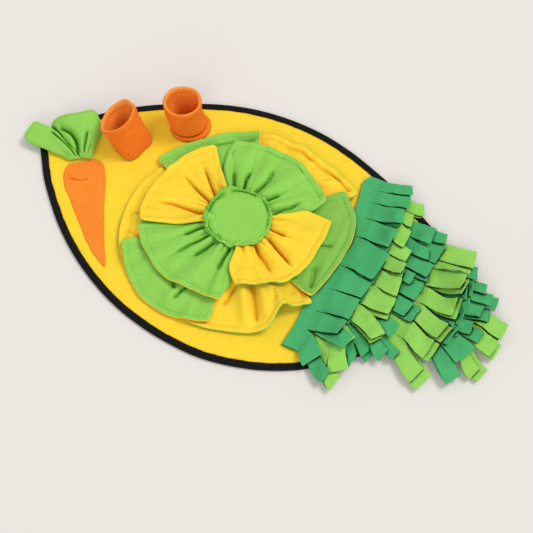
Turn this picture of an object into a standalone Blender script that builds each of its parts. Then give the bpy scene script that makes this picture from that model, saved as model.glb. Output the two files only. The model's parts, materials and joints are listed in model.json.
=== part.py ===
"""A fleece snuffle mat in the shape of a pointed oval.

On the bound base lie a flat carrot with a gathered top, two treat cups, a flower of
ten two-ply petals round a gathered disc, and six rows of cut fringe towards one tip.

Frame: the origin is in the middle of the mat, on its underside. +X runs along the mat
towards the fringe and +Z is up. Sizes are in millimetres; the mesh helpers turn them
to metres.
"""
import math

import bmesh
import bpy
import numpy as np

MM = 0.001
GAP = 0.5                 # between one laid cloth and the next
SEAT = 0.3                # between a piece and the flat cloth it is sewn to

# ------------------------------------------------------------------ driving sizes
MAT_THICK = 4.5           # bound base: fleece, wadding and a grippy back
WEB_LOW, WEB_HIGH = 1.6, 2.9      # the base pressed thin inside the binding
BIND_WIDE = 10.0
BIND_THICK = 1.2
BIND_EDGE = 1.3           # binding round the base's rim
EDGE_POINTS = 60

SAG = 0.3                 # a laid cloth first sags by this share of its extra height
SAG_FADE = 0.88           # and each round by less
SAG_ROUNDS = 40
PUSH_ROUNDS = 300
HELD_SHARE = 0.2          # cells that hang more than 80% on a sewn root are not tested

FLOWER = (-8.0, 4.0)      # middle of the flower
PETAL_THICK = 2.4         # two plies of fleece
PETAL_INNER = 14.0        # petals start here, under the disc
PETAL_CORNER = 12.0
PUFF_LOW = 4.5            # how far the middle of a lower petal stands up
PUFF_TOP = 7.0            # and that of an upper petal, beside the disc
PUFF_FLAT = 62.0          # beyond this distance from the flower's middle the upper ones sink
PUFF_FADE = 52.0          # over this distance
DISC_RADIUS = 51.0
DISC_THICK = 2.4
DISC_DOME = 7.0

CARROT_THICK = 1.8
TUFT_THICK = 2.4
CUP_WALL = 2.4

TAB_THICK = 1.8
TAB_PLY_GAP = 0.6
TAB_SLIT = 2.6
STRIP_DEEP = 14.0
TAB_STEP = 14.0           # between two cross sections of a tab
TAB_KNEE = 0.20           # how far out a tab starts to turn, as a share of its length
TAB_TIP_Z = 5.0           # a free tab sags to this height

# Edge of the mat: columns are x, y of the far edge, y of the near edge
MAT_EDGE = [
    (-354, 31, 3), (-339, 53, -18), (-314, 85, -52), (-264, 129, -104),
    (-214, 161, -144), (-164, 186, -174), (-114, 205, -196), (-64, 216, -210),
    (-14, 219.5, -217.5), (36, 216.5, -219), (86, 206, -211), (136, 189, -195),
    (186, 168, -168), (236, 143, -126), (286, 113, -84), (316, 89, -57),
    (341, 61, -30), (356, 38, -8),
]
MAT_TIPS = ((-362, 17), (364, 14))

# Carrot: columns are distance from the crown, half width on the left and on the right
CARROT_CROWN = (-278.0, 6.0)
CARROT_TURN = -51.5       # degrees, from the crown to the point
CARROT_SECTIONS = [
    (0, 22, 18), (6, 28, 25), (14, 32, 29), (24, 34, 30), (42, 34, 27), (60, 30, 23),
    (85, 27, 17), (110, 23, 12.5), (136, 19, 8), (161, 14, 4.5), (179, 7, 2.5), (192, 1, 0.7),
]

# Carrot top, a fan of cloth gathered at the crown: columns are the direction in
# degrees, the reach, and the height of the free end above the floor
TUFT_NECK = (-272.0, 1.0)
TUFT_NECK_RADIUS = 9.0
TUFT_FAN = [
    (186, 84, 12), (180, 100, 16), (174, 109, 24), (167, 108, 26), (161, 92, 20),
    (155, 88, 15), (148, 90, 24), (141, 88, 28), (133, 86, 26), (125, 85, 30),
    (117, 87, 27), (110, 88, 31), (104, 80, 26), (98, 68, 22), (92, 56, 16),
]
TUFT_ROWS = 6

# Cups: columns are x, y, z of a ring's centre, its tilt in degrees and its radius
CUPS = {
    "cup_left": dict(towards=196, rings=[
        (-229, 71, 4.8, 0, 29.5), (-231, 71, 16, 6, 30.0), (-236, 71.5, 32, 14, 29.5),
        (-242, 72, 47, 23, 29.8), (-247, 72, 60, 30, 31.0)]),
    "cup_right": dict(towards=115, rings=[
        (-156, 141, 4.8, 0, 29.5), (-156.5, 141, 9, 0, 31.5), (-157, 141, 13, 0, 31.0),
        (-158, 141, 17, 0, 28.8), (-163, 140, 38, 1, 28.8), (-169, 138, 61, 3, 31.0)]),
}
CUP_SIDES = 20

# Petals: start and end direction in degrees, then the reach and the rise of the outer
# edge at five even stations from start to end
PETALS = {
    "petal_low_b": (106, 38, (173, 177, 174, 178, 186), (2, 3, 2, 2, 2)),
    "petal_low_d": (-23, -90, (170, 179, 184, 182, 180), (4, 24, 5, 3, 2)),
    "petal_low_f": (163, 223, (158, 169, 174, 181, 190), (2, 2, 3, 3, 2)),
    "petal_low_a": (161, 103, (176, 167, 167, 170, 172), (4, 5, 6, 5, 4)),
    "petal_low_c": (47, -26, (170, 180, 174, 160, 164), (3, 4, 4, 5, 4)),
    "petal_low_e": (217, 282, (178, 183, 187, 181, 168), (4, 3, 2, 3, 4)),
    "petal_top_b": (126, 35, (144, 139, 139, 137, 136), (5, 6, 4, 5, 5)),
    "petal_top_d": (205, 291, (148, 147, 143, 135, 136), (4, 5, 4, 6, 6)),
    "petal_top_a": (131, 208, (142, 144, 142, 147, 146.5), (4, 5, 4, 4, 5)),
    "petal_top_c": (34, -71, (142, 134, 132, 117, 111), (6, 8, 7, 6, 6)),
}
PETAL_ACROSS = 13
PETAL_OUT = 8

# Folds that run out from the disc: petal, direction at the inner and the outer end,
# inner and outer radius, width and height
FOLDS = [
    ("petal_low_d", -66, -60, 60, 178, 26, 5), ("petal_low_d", -84, -80, 70, 170, 22, 4),
    ("petal_low_e", 262, 258, 80, 176, 24, 6), ("petal_low_e", 236, 232, 90, 184, 26, 5),
    ("petal_low_f", 176, 172, 90, 160, 24, 4), ("petal_low_f", 206, 204, 90, 180, 26, 5),
    ("petal_low_c", 2, 6, 80, 176, 26, 6), ("petal_low_c", 30, 34, 80, 176, 26, 4),
    ("petal_top_a", 146, 143, 48, 120, 26, 8), ("petal_top_a", 170, 166, 48, 130, 26, 7),
    ("petal_top_a", 190, 188, 48, 130, 28, 8), ("petal_top_b", 116, 112, 48, 126, 22, 8),
    ("petal_top_b", 92, 90, 48, 130, 28, 7), ("petal_top_b", 66, 68, 48, 130, 28, 9),
    ("petal_top_b", 44, 46, 48, 124, 22, 7), ("petal_top_c", 16, 10, 48, 124, 26, 7),
    ("petal_top_c", -14, -16, 48, 126, 28, 8), ("petal_top_c", -46, -42, 48, 116, 24, 7),
    ("petal_top_d", 222, 220, 48, 132, 26, 8), ("petal_top_d", 246, 244, 48, 132, 26, 9),
    ("petal_top_d", 270, 264, 48, 126, 26, 8), ("petal_top_d", 286, 280, 48, 128, 20, 7),
]

# Fringe: x of the back of each row, then one tab for each line. Columns are the y of
# the slit above the tab, the tip of its upper ply (x, y) and that of its lower ply.
# The last number of a row closes its last tab.
FRINGE = {
    "fringe_row_6": (335, -25, [
        (54, 422, 9, 417, 13), (28, 422, -25, 417, -21), (2, 419, -69, 412, -64)]),
    "fringe_row_5": (300, -66, [
        (90, 350, 80, 345, 85), (64, 373, 60, 396, 46), (40, 378, 29, 392, 20),
        (14, 376, -7, 394, -20), (-6, 385, -57, 380, -50), (-37, 384, -97, 378, -92)]),
    "fringe_row_4": (262, -98, [
        (108, 340, 101, 336, 95), (76, 340, 62, 333, 67), (60, 339, 46, 346, 43),
        (30, 347, 7, 342, 2), (2, 344, -36, 350, -33), (-28, 333, -65, 343, -69),
        (-65, 335, -113, 347, -118)]),
    "fringe_row_3": (212, -124, [
        (128, 267, 114, 288, 116), (98, 272, 83, 288, 85), (70, 285, 58, 298, 66),
        (42, 296, 41, 290, 30), (12, 281, -15, 295, 5), (-16, 295, -24, 288, -33),
        (-44, 268, -55, 262, -60), (-70, 293, -92, 283, -106), (-97, 249, -114, 242, -126)]),
    "fringe_row_2": (178, -156, [
        (158, 237, 150, 232, 147), (132, 228, 122, 224, 125), (104, 233, 89, 229, 86),
        (74, 245, 66, 241, 70), (48, 248, 39, 252, 42), (22, 259, 6, 254, 10),
        (-6, 260, -28, 257, -34), (-34, 258, -81, 252, -86), (-62, 212, -90, 208, -84),
        (-96, 231, -152, 226, -155), (-127, 229, -181, 223, -177)]),
    "fringe_row_1": (142, -152, [
        (173, 203, 178, 198, 171), (141, 211, 150, 207, 145), (111, 215, 119, 211, 112),
        (88, 214, 80, 217, 84), (57, 217, 28, 213, 32), (2, 214, -16, 223, -21),
        (-39, 211, -55, 218, -60), (-83, 209, -92, 224, -107), (-118, 188, -155, 218, -171)]),
}

# Colours of the cloths, as on the photographed mat
YELLOW = (0.98, 0.63, 0.045)
BLACK = (0.012, 0.012, 0.011)
CARROT_ORANGE = (0.95, 0.23, 0.025)
CUP_ORANGE = (0.82, 0.17, 0.012)
LEAF = (0.28, 0.64, 0.11)
TREE = (0.063, 0.40, 0.135)


# ------------------------------------------------------------------ scene helpers
def clear_scene():
    """Remove every object of the start-up scene."""
    for thing in list(bpy.data.objects):
        bpy.data.objects.remove(thing, do_unlink=True)


def cloth_material(name, colour):
    """A matt cloth of one colour."""
    made = bpy.data.materials.new(name)
    made.use_nodes = True
    shader = made.node_tree.nodes["Principled BSDF"]
    shader.inputs["Base Color"].default_value = (*colour, 1.0)
    shader.inputs["Roughness"].default_value = 0.92
    shader.inputs["Metallic"].default_value = 0.0
    return made


def add_object(name, points, faces, colour):
    """One closed solid from points in millimetres; doubles are merged."""
    mesh = bpy.data.meshes.new(name)
    mesh.from_pydata([tuple(p) for p in np.asarray(points) * MM], [], faces)
    work = bmesh.new()
    work.from_mesh(mesh)
    bmesh.ops.remove_doubles(work, verts=work.verts, dist=1e-7)
    bmesh.ops.recalc_face_normals(work, faces=work.faces)
    work.to_mesh(mesh)
    work.free()
    mesh.materials.append(cloth_material(name + "_cloth", colour))
    made = bpy.data.objects.new(name, mesh)
    bpy.context.scene.collection.objects.link(made)
    return made


# ------------------------------------------------------------------ curves
def smooth_loop(points, count):
    """A closed smooth curve through the points, cut into even steps."""
    p = np.asarray(points, float)
    before, after, last = np.roll(p, 1, 0), np.roll(p, -1, 0), np.roll(p, -2, 0)
    t = np.linspace(0, 1, 12, endpoint=False)[None, :, None]
    a, b, c, d = (q[:, None, :] for q in (before, p, after, last))
    dense = 0.5 * (2 * b + (c - a) * t + (2 * a - 5 * b + 4 * c - d) * t ** 2
                   + (3 * b - a - 3 * c + d) * t ** 3)
    dense = dense.reshape(-1, 2)
    closed = np.vstack([dense, dense[:1]])
    along = np.r_[0, np.cumsum(np.hypot(*np.diff(closed, axis=0).T))]
    at = np.linspace(0, along[-1], count, endpoint=False)
    return np.stack([np.interp(at, along, closed[:, k]) for k in (0, 1)], 1)


def inset(loop, distance):
    """The loop moved inwards; it runs counterclockwise."""
    run = np.roll(loop, -1, 0) - np.roll(loop, 1, 0)
    run /= np.hypot(*run.T)[:, None]
    return loop + distance * np.stack([-run[:, 1], run[:, 0]], 1)


def mat_outline():
    """Outer edge of the binding, counterclockwise from the left tip."""
    near = [(x, low) for x, _, low in MAT_EDGE]
    far = [(x, high) for x, high, _ in reversed(MAT_EDGE)]
    return smooth_loop([MAT_TIPS[0]] + near + [MAT_TIPS[1]] + far, EDGE_POINTS)


# ------------------------------------------------------------------ solids from rings
def bridge(first, second, count):
    """Quads between two rings of points that start at these indices."""
    return [(first + k, first + (k + 1) % count, second + (k + 1) % count, second + k)
            for k in range(count)]


def ring_solid(name, rings, colour, closed=False):
    """A solid through rings of points: a tube back to its start, or capped."""
    count = len(rings[0])
    points = np.vstack(rings)
    faces = []
    for k in range(len(rings) - 1):
        faces += bridge(k * count, (k + 1) * count, count)
    if closed:
        faces += bridge((len(rings) - 1) * count, 0, count)
    else:
        faces.append(tuple(range(count)))
        faces.append(tuple(range(len(points) - count, len(points))))
    return add_object(name, points, faces, colour)


def level(loop, height):
    """A flat ring of points at one height."""
    return np.column_stack([loop, np.full(len(loop), float(height))])


# ------------------------------------------------------------------ the pile of cloth
class Pile:
    """The top of all that has been laid so far, kept as heights on an even grid."""

    STEP = 1.5
    LOW = np.array([-420.0, -280.0])
    SHAPE = (600, 374)

    def __init__(self):
        self.top = np.zeros(self.SHAPE)

    def cover(self, spots, triangles):
        """Grid cells under each triangle, with the corners and their weights."""
        cells, corners, weights = [], [], []
        for tri in triangles:
            a, b, c = spots[list(tri)]
            low = np.ceil((np.minimum(np.minimum(a, b), c) - self.LOW) / self.STEP)
            high = np.floor((np.maximum(np.maximum(a, b), c) - self.LOW) / self.STEP)
            i, j = (np.arange(low[k], high[k] + 1).astype(int) for k in (0, 1))
            if not len(i) or not len(j):
                continue
            i, j = (g.ravel() for g in np.meshgrid(i, j, indexing="ij"))
            at = self.LOW + self.STEP * np.stack([i, j], 1)
            area = (b[0] - a[0]) * (c[1] - a[1]) - (b[1] - a[1]) * (c[0] - a[0])
            if abs(area) < 1e-6:
                continue
            wb = ((at[:, 0] - a[0]) * (c[1] - a[1]) - (at[:, 1] - a[1]) * (c[0] - a[0])) / area
            wc = ((b[0] - a[0]) * (at[:, 1] - a[1]) - (b[1] - a[1]) * (at[:, 0] - a[0])) / area
            wa = 1 - wb - wc
            inside = (wa >= -1e-9) & (wb >= -1e-9) & (wc >= -1e-9)
            cells.append(np.stack([i, j], 1)[inside])
            corners.append(np.tile(np.array(tri), (inside.sum(), 1)))
            weights.append(np.stack([wa, wb, wc], 1)[inside])
        return np.vstack(cells), np.vstack(corners), np.vstack(weights)

    def spread(self):
        """The pile with each height carried one cell sideways, so no rim is missed."""
        wide = np.pad(self.top, 1, mode="edge")
        n, m = self.SHAPE
        return np.max([wide[i:i + n, j:j + m] for i in range(3) for j in range(3)], 0)

    def height(self, spots):
        """The pile's height at some spots."""
        i, j = np.rint((spots - self.LOW) / self.STEP).astype(int).T
        return self.spread()[i, j]

    def settle(self, spots, triangles, wanted, held=()):
        """Heights near the wanted ones at which every triangle clears the pile by GAP."""
        cell, corner, weight = self.cover(spots, triangles)
        free = np.ones(len(spots))
        free[list(held)] = 0
        pull = weight * free[corner]
        loose = pull.sum(1) > HELD_SHARE
        cell, corner, weight, pull = cell[loose], corner[loose], weight[loose], pull[loose]
        floor = self.spread()[cell[:, 0], cell[:, 1]] + GAP
        heights = wanted.copy()
        for k in range(SAG_ROUNDS):
            heights = heights - SAG * SAG_FADE ** k * (heights - wanted)
            for _ in range(PUSH_ROUNDS):
                short = floor - (weight * heights[corner]).sum(1)
                low = short > 1e-3
                if not low.any():
                    break
                push = pull[low] * (short[low] / (pull[low] ** 2).sum(1))[:, None]
                lift = np.zeros(len(spots))
                np.maximum.at(lift, corner[low], push)
                heights = heights + lift
        return heights

    def lay(self, spots, triangles, heights):
        """Add a surface to the pile."""
        cell, corner, weight = self.cover(spots, triangles)
        here = (weight * heights[corner]).sum(1)
        np.maximum.at(self.top, (cell[:, 0], cell[:, 1]), here)


def fan_triangles(loop):
    """Triangles that fill a convex loop."""
    return [(0, k, k + 1) for k in range(1, len(loop) - 1)]


def grid_triangles(rows, columns):
    """Two triangles for each cell of a grid of points, row by row."""
    made = []
    for r in range(rows - 1):
        for c in range(columns - 1):
            k = r * columns + c
            made.append((k, k + columns, k + columns + 1))
            made.append((k, k + columns + 1, k + 1))
    return made


def rim_of_grid(rows, columns):
    """Indices round the edge of a grid of points."""
    first = [c for c in range(columns)]
    right = [r * columns + columns - 1 for r in range(1, rows)]
    last = [(rows - 1) * columns + c for c in range(columns - 2, -1, -1)]
    left = [r * columns for r in range(rows - 2, 0, -1)]
    return first + right + last + left


def sheet_solid(name, spots, shape, under, thickness, colour):
    """A sheet of even thickness over a grid of spots, given its underside."""
    triangles = grid_triangles(*shape)
    rim = rim_of_grid(*shape)
    n = len(spots)
    points = np.vstack([np.column_stack([spots, under]),
                        np.column_stack([spots, under + thickness])])
    faces = list(triangles) + [tuple(n + k for k in reversed(t)) for t in triangles]
    for a, b in zip(rim, rim[1:] + rim[:1]):
        faces += [(a, b, n + b), (a, n + b, n + a)]
    return add_object(name, points, faces, colour)


def relax(heights, shape, rounds):
    """Even out the heights of a grid of points, as cloth does when it bends."""
    z = heights.reshape(shape)
    for _ in range(rounds):
        wide = np.pad(z, 1, mode="edge")
        mean = (wide[:-2, 1:-1] + wide[2:, 1:-1] + wide[1:-1, :-2] + wide[1:-1, 2:]) / 4
        z = 0.5 * z + 0.5 * mean
    return z.ravel()


def lay_sheet(name, pile, spots, shape, lift, thickness, colour, soft_rounds=2):
    """Drape a sheet on the pile with its own lift, and add it to the pile."""
    triangles = grid_triangles(*shape)
    under = pile.settle(spots, triangles, pile.height(spots) + GAP)
    under = relax(under, shape, soft_rounds) + lift
    under = pile.settle(spots, triangles, under)
    pile.lay(spots, triangles, under + thickness)
    return sheet_solid(name, spots, shape, under, thickness, colour)


# ------------------------------------------------------------------ base and binding
def make_base(pile):
    """The flat base, pressed thin at its rim, and the folded binding round it."""
    edge = mat_outline()
    step = BIND_WIDE + SEAT
    base = [
        level(inset(edge, step), 0),
        level(inset(edge, step), WEB_LOW),
        level(inset(edge, BIND_EDGE + SEAT), WEB_LOW),
        level(inset(edge, BIND_EDGE + SEAT), WEB_HIGH),
        level(inset(edge, step), WEB_HIGH),
        level(inset(edge, step), MAT_THICK),
    ]
    ring_solid("mat_base", base, YELLOW)
    section = [
        (0, 1.0), (1.0, 0), (BIND_WIDE, 0), (BIND_WIDE, BIND_THICK),
        (BIND_EDGE, BIND_THICK), (BIND_EDGE, MAT_THICK - BIND_THICK),
        (BIND_WIDE, MAT_THICK - BIND_THICK), (BIND_WIDE, MAT_THICK),
        (1.0, MAT_THICK), (0, MAT_THICK - 1.0),
    ]
    ring_solid("binding", [level(inset(edge, d), z) for d, z in section], BLACK, True)
    pile.lay(edge, fan_triangles(edge), np.full(len(edge), MAT_THICK))


# ------------------------------------------------------------------ carrot
def make_carrot(pile):
    """The flat carrot, sewn down, from a table of its widths."""
    turn = math.radians(CARROT_TURN)
    along = np.array([math.cos(turn), math.sin(turn)])
    left = np.array([along[1], -along[0]])
    start = np.array(CARROT_CROWN)
    down = [start + s * along + wide * left for s, wide, _ in CARROT_SECTIONS]
    back = [start + s * along - wide * left for s, _, wide in reversed(CARROT_SECTIONS)]
    loop = np.array(down + back)
    low = MAT_THICK + SEAT
    ring_solid("carrot", [level(loop, low), level(loop, low + CARROT_THICK)], CARROT_ORANGE)
    pile.lay(loop, fan_triangles(loop), np.full(len(loop), low + CARROT_THICK))


def make_tuft(pile):
    """The carrot's gathered top: a pleated fan that rises from the crown."""
    table = np.array(TUFT_FAN, float)
    turn = np.radians(table[:, 0])
    out = np.linspace(0, 1, TUFT_ROWS)
    reach = TUFT_NECK_RADIUS + (table[:, 1] - TUFT_NECK_RADIUS) * out[:, None]
    spots = np.stack([TUFT_NECK[0] + reach * np.cos(turn),
                      TUFT_NECK[1] + reach * np.sin(turn)], 2).reshape(-1, 2)
    shape = (TUFT_ROWS, len(table))
    neck = pile.height(spots).max() + GAP
    under = (neck + (table[:, 2] - neck) * np.sqrt(out)[:, None]).ravel()
    under = pile.settle(spots, grid_triangles(*shape), under)
    pile.lay(spots, grid_triangles(*shape), under + TUFT_THICK)
    sheet_solid("carrot_tuft", spots, shape, under, TUFT_THICK, LEAF)


# ------------------------------------------------------------------ cups
def cup_ring(centre, tilt, towards, radius):
    """A circle that leans by tilt degrees in the direction towards."""
    angle = np.linspace(0, 2 * math.pi, CUP_SIDES, endpoint=False)
    lean, face = math.radians(tilt), math.radians(towards)
    ahead, aside = radius * np.cos(angle), radius * np.sin(angle)
    flat = ahead * math.cos(lean)
    return np.column_stack([
        centre[0] + flat * math.cos(face) - aside * math.sin(face),
        centre[1] + flat * math.sin(face) + aside * math.cos(face),
        centre[2] - ahead * math.sin(lean)])


def make_cup(name, towards, rings):
    """A cloth cup: outer wall up, over the rim and down the inside to its floor."""
    outer = [cup_ring(r[:3], r[3], towards, r[4]) for r in rings]
    inner = [cup_ring(r[:3], r[3], towards, r[4] - CUP_WALL) for r in rings]
    floor = cup_ring(rings[0][:3], 0, towards, rings[0][4] - CUP_WALL)
    floor[:, 2] += CUP_WALL
    ring_solid(name, outer + inner[:0:-1] + [floor], CUP_ORANGE)


# ------------------------------------------------------------------ flower
def spread_stations(values, share):
    """A value at each share of the way, from even stations."""
    return np.interp(share, np.linspace(0, 1, len(values)), values)


def fold_lift(name, spots):
    """How far the folds of one petal raise its spots."""
    lift = np.zeros(len(spots))
    for petal, turn_in, turn_out, near, far, width, height in FOLDS:
        if petal != name:
            continue
        ends = [np.array([r * math.cos(math.radians(t)), r * math.sin(math.radians(t))])
                for r, t in ((near, turn_in), (far, turn_out))]
        run = ends[1] - ends[0]
        rel = spots - np.array(FLOWER) - ends[0]
        share = np.clip(rel @ run / (run @ run), 0, 1)
        aside = np.hypot(*(rel - share[:, None] * run).T)
        fade = np.sqrt(np.sin(math.pi * np.clip(share * 0.9 + 0.1, 0, 1)))
        lift += height * fade * np.exp(-(aside / (0.5 * width)) ** 2)
    return lift


def petal_spots(start, end, reaches):
    """A grid of spots over a petal, its outer corners rounded."""
    share = np.linspace(0, 1, PETAL_ACROSS)
    share = 0.4 * share + 0.3 * (1 - np.cos(math.pi * share))    # finer at both sides
    turn = np.radians(start + (end - start) * share)
    reach = spread_stations(reaches, share)
    side = np.minimum(share, 1 - share) * abs(math.radians(end - start)) * reach
    short = np.clip(PETAL_CORNER - side, 0, None)
    reach = reach - (PETAL_CORNER - np.sqrt(PETAL_CORNER ** 2 - short ** 2))
    out = np.linspace(0, 1, PETAL_OUT)[:, None]
    radius = PETAL_INNER + (reach - PETAL_INNER) * out
    spots = np.stack([FLOWER[0] + radius * np.cos(turn),
                      FLOWER[1] + radius * np.sin(turn)], 2)
    return spots.reshape(-1, 2), share, out


def petal_puff(name, spots, share, out):
    """How far the loose cloth between the sides of a petal stands up."""
    across = np.sqrt(np.sin(math.pi * share))
    if "low" in name:
        return (PUFF_LOW * across * (1 - out ** 6)).ravel()
    radius = np.hypot(*(spots - np.array(FLOWER)).T)
    fade = np.exp(-np.maximum(radius - PUFF_FLAT, 0) / PUFF_FADE)
    return PUFF_TOP * np.tile(across, PETAL_OUT) * fade


def make_petal(pile, name, start, end, reaches, rises):
    """One two-ply petal, laid on what is below it with its edge lifted."""
    spots, share, out = petal_spots(start, end, reaches)
    rise = (spread_stations(rises, share) * out ** 3).ravel()
    rise += petal_puff(name, spots, share, out)
    green = name[-1] in "ace" if "low" in name else name[-1] in "bd"
    lay_sheet(name, pile, spots, (PETAL_OUT, PETAL_ACROSS),
              rise + fold_lift(name, spots), PETAL_THICK, LEAF if green else YELLOW)


def make_disc(pile):
    """The gathered disc that covers the petals' inner ends."""
    across = np.linspace(-1, 1, 11)
    u, v = (g.ravel() for g in np.meshgrid(across, across, indexing="ij"))
    x = u * np.sqrt(1 - v ** 2 / 2)
    y = v * np.sqrt(1 - u ** 2 / 2)
    spots = np.array(FLOWER) + DISC_RADIUS * np.stack([x, y], 1)
    dome = DISC_DOME * np.sqrt(np.clip(1 - (x ** 2 + y ** 2), 0, 1))
    lay_sheet("flower_disc", pile, spots, (11, 11), dome, DISC_THICK, LEAF, soft_rounds=6)


# ------------------------------------------------------------------ fringe
def tab_spots(x, high, low, tip):
    """Spots along both edges of a tab, which leaves its strip squarely and then turns."""
    root, tip = np.array([x, (high + low) / 2]), np.array(tip, float)
    length = float(np.hypot(*(tip - root)))
    steps = max(3, round(length / TAB_STEP))
    share = np.linspace(0, 1, steps + 1)[:, None]
    knee = root + (TAB_KNEE * length, 0)
    middle = (1 - share) ** 2 * root + 2 * share * (1 - share) * knee + share ** 2 * tip
    run = 2 * (1 - share) * (knee - root) + 2 * share * (tip - knee)
    run /= np.hypot(*run.T)[:, None]
    aside = (high - low) / 2 * np.stack([-run[:, 1], run[:, 0]], 1)
    spots = np.stack([middle + aside, middle - aside], 1)
    return spots.reshape(-1, 2), steps + 1


def tab_faces(first, rows):
    """Faces of a tab that is open at its root: underside points, then top points."""
    count = 2 * rows
    under = grid_triangles(rows, 2)
    faces = [tuple(first + k for k in t) for t in under]
    faces += [tuple(first + count + k for k in reversed(t)) for t in under]
    rim = [2 * r for r in range(rows)] + [2 * r + 1 for r in range(rows - 1, -1, -1)]
    for a, b in zip(rim, rim[1:]):
        faces.append((first + a, first + b, first + count + b))
        faces.append((first + a, first + count + b, first + count + a))
    return faces


def strip_faces(levels, lines):
    """Faces of a backing strip, open where a tab grows out of its front."""
    def at(front, line, k):
        return (front * lines + line) * levels + k

    faces = []
    for a in range(lines - 1):
        for k in range(levels - 1):
            faces.append((at(0, a, k), at(0, a + 1, k), at(0, a + 1, k + 1), at(0, a, k + 1)))
            if a % 2 or k % 2:
                faces.append((at(1, a, k), at(1, a + 1, k), at(1, a + 1, k + 1), at(1, a, k + 1)))
        for k in (0, levels - 1):
            faces.append((at(0, a, k), at(0, a + 1, k), at(1, a + 1, k), at(1, a, k)))
    for a in (0, lines - 1):
        for k in range(levels - 1):
            faces.append((at(0, a, k), at(1, a, k), at(1, a, k + 1), at(0, a, k + 1)))
    return faces


def make_fringe(pile, name, back, last_cut, tabs, colour):
    """A row of fringe: a strip sewn to the mat and its tabs, an upper and a lower ply."""
    front = back + STRIP_DEEP
    low = MAT_THICK + SEAT
    levels = np.array([low, low + TAB_THICK, low + TAB_THICK + TAB_PLY_GAP,
                       low + 2 * TAB_THICK + TAB_PLY_GAP])
    cuts = [row[0] for row in tabs] + [last_cut]
    half = TAB_SLIT / 2
    tops = [cut - half * (k > 0) for k, cut in enumerate(cuts[:-1])]
    ends = [cut + half * (k < len(tabs) - 1) for k, cut in enumerate(cuts[1:])]
    lines = [y for pair in zip(tops, ends) for y in pair]
    points = [(x, y, z) for x in (back, front) for y in lines for z in levels]
    faces = strip_faces(len(levels), len(lines))
    for ply in (1, 0):
        root = levels[2 - 2 * ply]
        for k in reversed(range(len(tabs))):
            tip = tabs[k][1 + 2 * ply:3 + 2 * ply]
            spots, rows = tab_spots(front, tops[k], ends[k], tip)
            out = np.repeat(np.linspace(0, 1, rows), 2)
            under = root + (TAB_TIP_Z + 2 * (1 - ply) - root) * out ** 2
            triangles = grid_triangles(rows, 2)
            under = pile.settle(spots, triangles, under, held=(0, 1))
            pile.lay(spots, triangles, under + TAB_THICK)
            faces += tab_faces(len(points), rows)
            points += [(*s, z) for s, z in zip(spots, under)]
            points += [(*s, z + TAB_THICK) for s, z in zip(spots, under)]
    strip = np.array([(back, lines[-1]), (front, lines[-1]), (front, lines[0]), (back, lines[0])])
    pile.lay(strip, [(0, 1, 2), (0, 2, 3)], np.full(4, levels[-1]))
    add_object(name, points, faces, colour)


# ------------------------------------------------------------------ the whole mat
def build():
    """Lay the pieces in the order in which they lie on each other."""
    clear_scene()
    pile = Pile()
    make_base(pile)
    make_carrot(pile)
    for name, (back, last_cut, tabs) in FRINGE.items():
        make_fringe(pile, name, back, last_cut, tabs, TREE if int(name[-1]) % 2 else LEAF)
    for name, (start, end, reaches, rises) in PETALS.items():
        make_petal(pile, name, start, end, reaches, rises)
    make_disc(pile)
    make_tuft(pile)
    for name, cup in CUPS.items():
        make_cup(name, **cup)


build()
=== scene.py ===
# %% [markdown]
# # A fleece snuffle mat
# A snuffle mat is a bound fleece base with pockets, flaps and fringe sewn to it, in which
# a dog looks for treats. This one is a pointed oval with a flower of two-ply petals,
# six rows of cut fringe, a flat carrot with a gathered top and two treat cups.
# Every piece is a sheet of cloth, so the lesson builds one good sheet and one pile to
# lay it on, and then lays the pieces in the order in which they lie on each other.

# %% Load the frame
import json
import math
from types import SimpleNamespace

import bpy
import numpy as np
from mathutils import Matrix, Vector

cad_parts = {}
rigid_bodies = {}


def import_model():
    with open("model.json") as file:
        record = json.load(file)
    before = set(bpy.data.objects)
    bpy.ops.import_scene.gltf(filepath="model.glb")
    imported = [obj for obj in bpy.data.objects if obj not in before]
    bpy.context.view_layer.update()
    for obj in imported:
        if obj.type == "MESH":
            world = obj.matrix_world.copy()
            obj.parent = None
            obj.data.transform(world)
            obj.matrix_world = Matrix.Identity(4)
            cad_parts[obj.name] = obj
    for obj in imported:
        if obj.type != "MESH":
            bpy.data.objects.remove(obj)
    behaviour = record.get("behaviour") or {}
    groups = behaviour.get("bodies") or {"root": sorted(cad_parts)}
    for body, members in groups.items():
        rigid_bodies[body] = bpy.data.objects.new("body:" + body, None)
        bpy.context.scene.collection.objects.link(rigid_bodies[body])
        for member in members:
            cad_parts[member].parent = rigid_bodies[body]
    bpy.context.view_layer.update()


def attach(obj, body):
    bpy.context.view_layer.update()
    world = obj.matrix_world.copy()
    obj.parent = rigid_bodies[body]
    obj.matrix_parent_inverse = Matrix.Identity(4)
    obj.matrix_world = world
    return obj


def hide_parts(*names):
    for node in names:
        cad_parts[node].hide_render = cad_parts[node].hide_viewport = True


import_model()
MM = 0.001
TURN = 2 * math.pi

# %% [markdown]
# ## Colours and small helpers
# Dyed fleece is matched as a hex colour, and one function turns such a colour
# into the linear values that a shader needs. The other helpers are the few curves that
# every shape below is put together from.


# %% Colours
def linear(code):
    """Linear red, green, blue and alpha of a colour like #FFD93C."""
    parts = [int(code[k:k + 2], 16) / 255 for k in (1, 3, 5)]
    return tuple(((c + 0.055) / 1.055) ** 2.4 if c > 0.04 else c / 12.92 for c in parts) + (1.0,)


def shade(code, amount):
    """A colour made lighter or deeper by a share."""
    parts = [int(code[k:k + 2], 16) for k in (1, 3, 5)]
    moved = [c + (255 - c) * amount if amount > 0 else c * (1 + amount) for c in parts]
    return "#" + "".join(f"{round(c):02X}" for c in moved)


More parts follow.
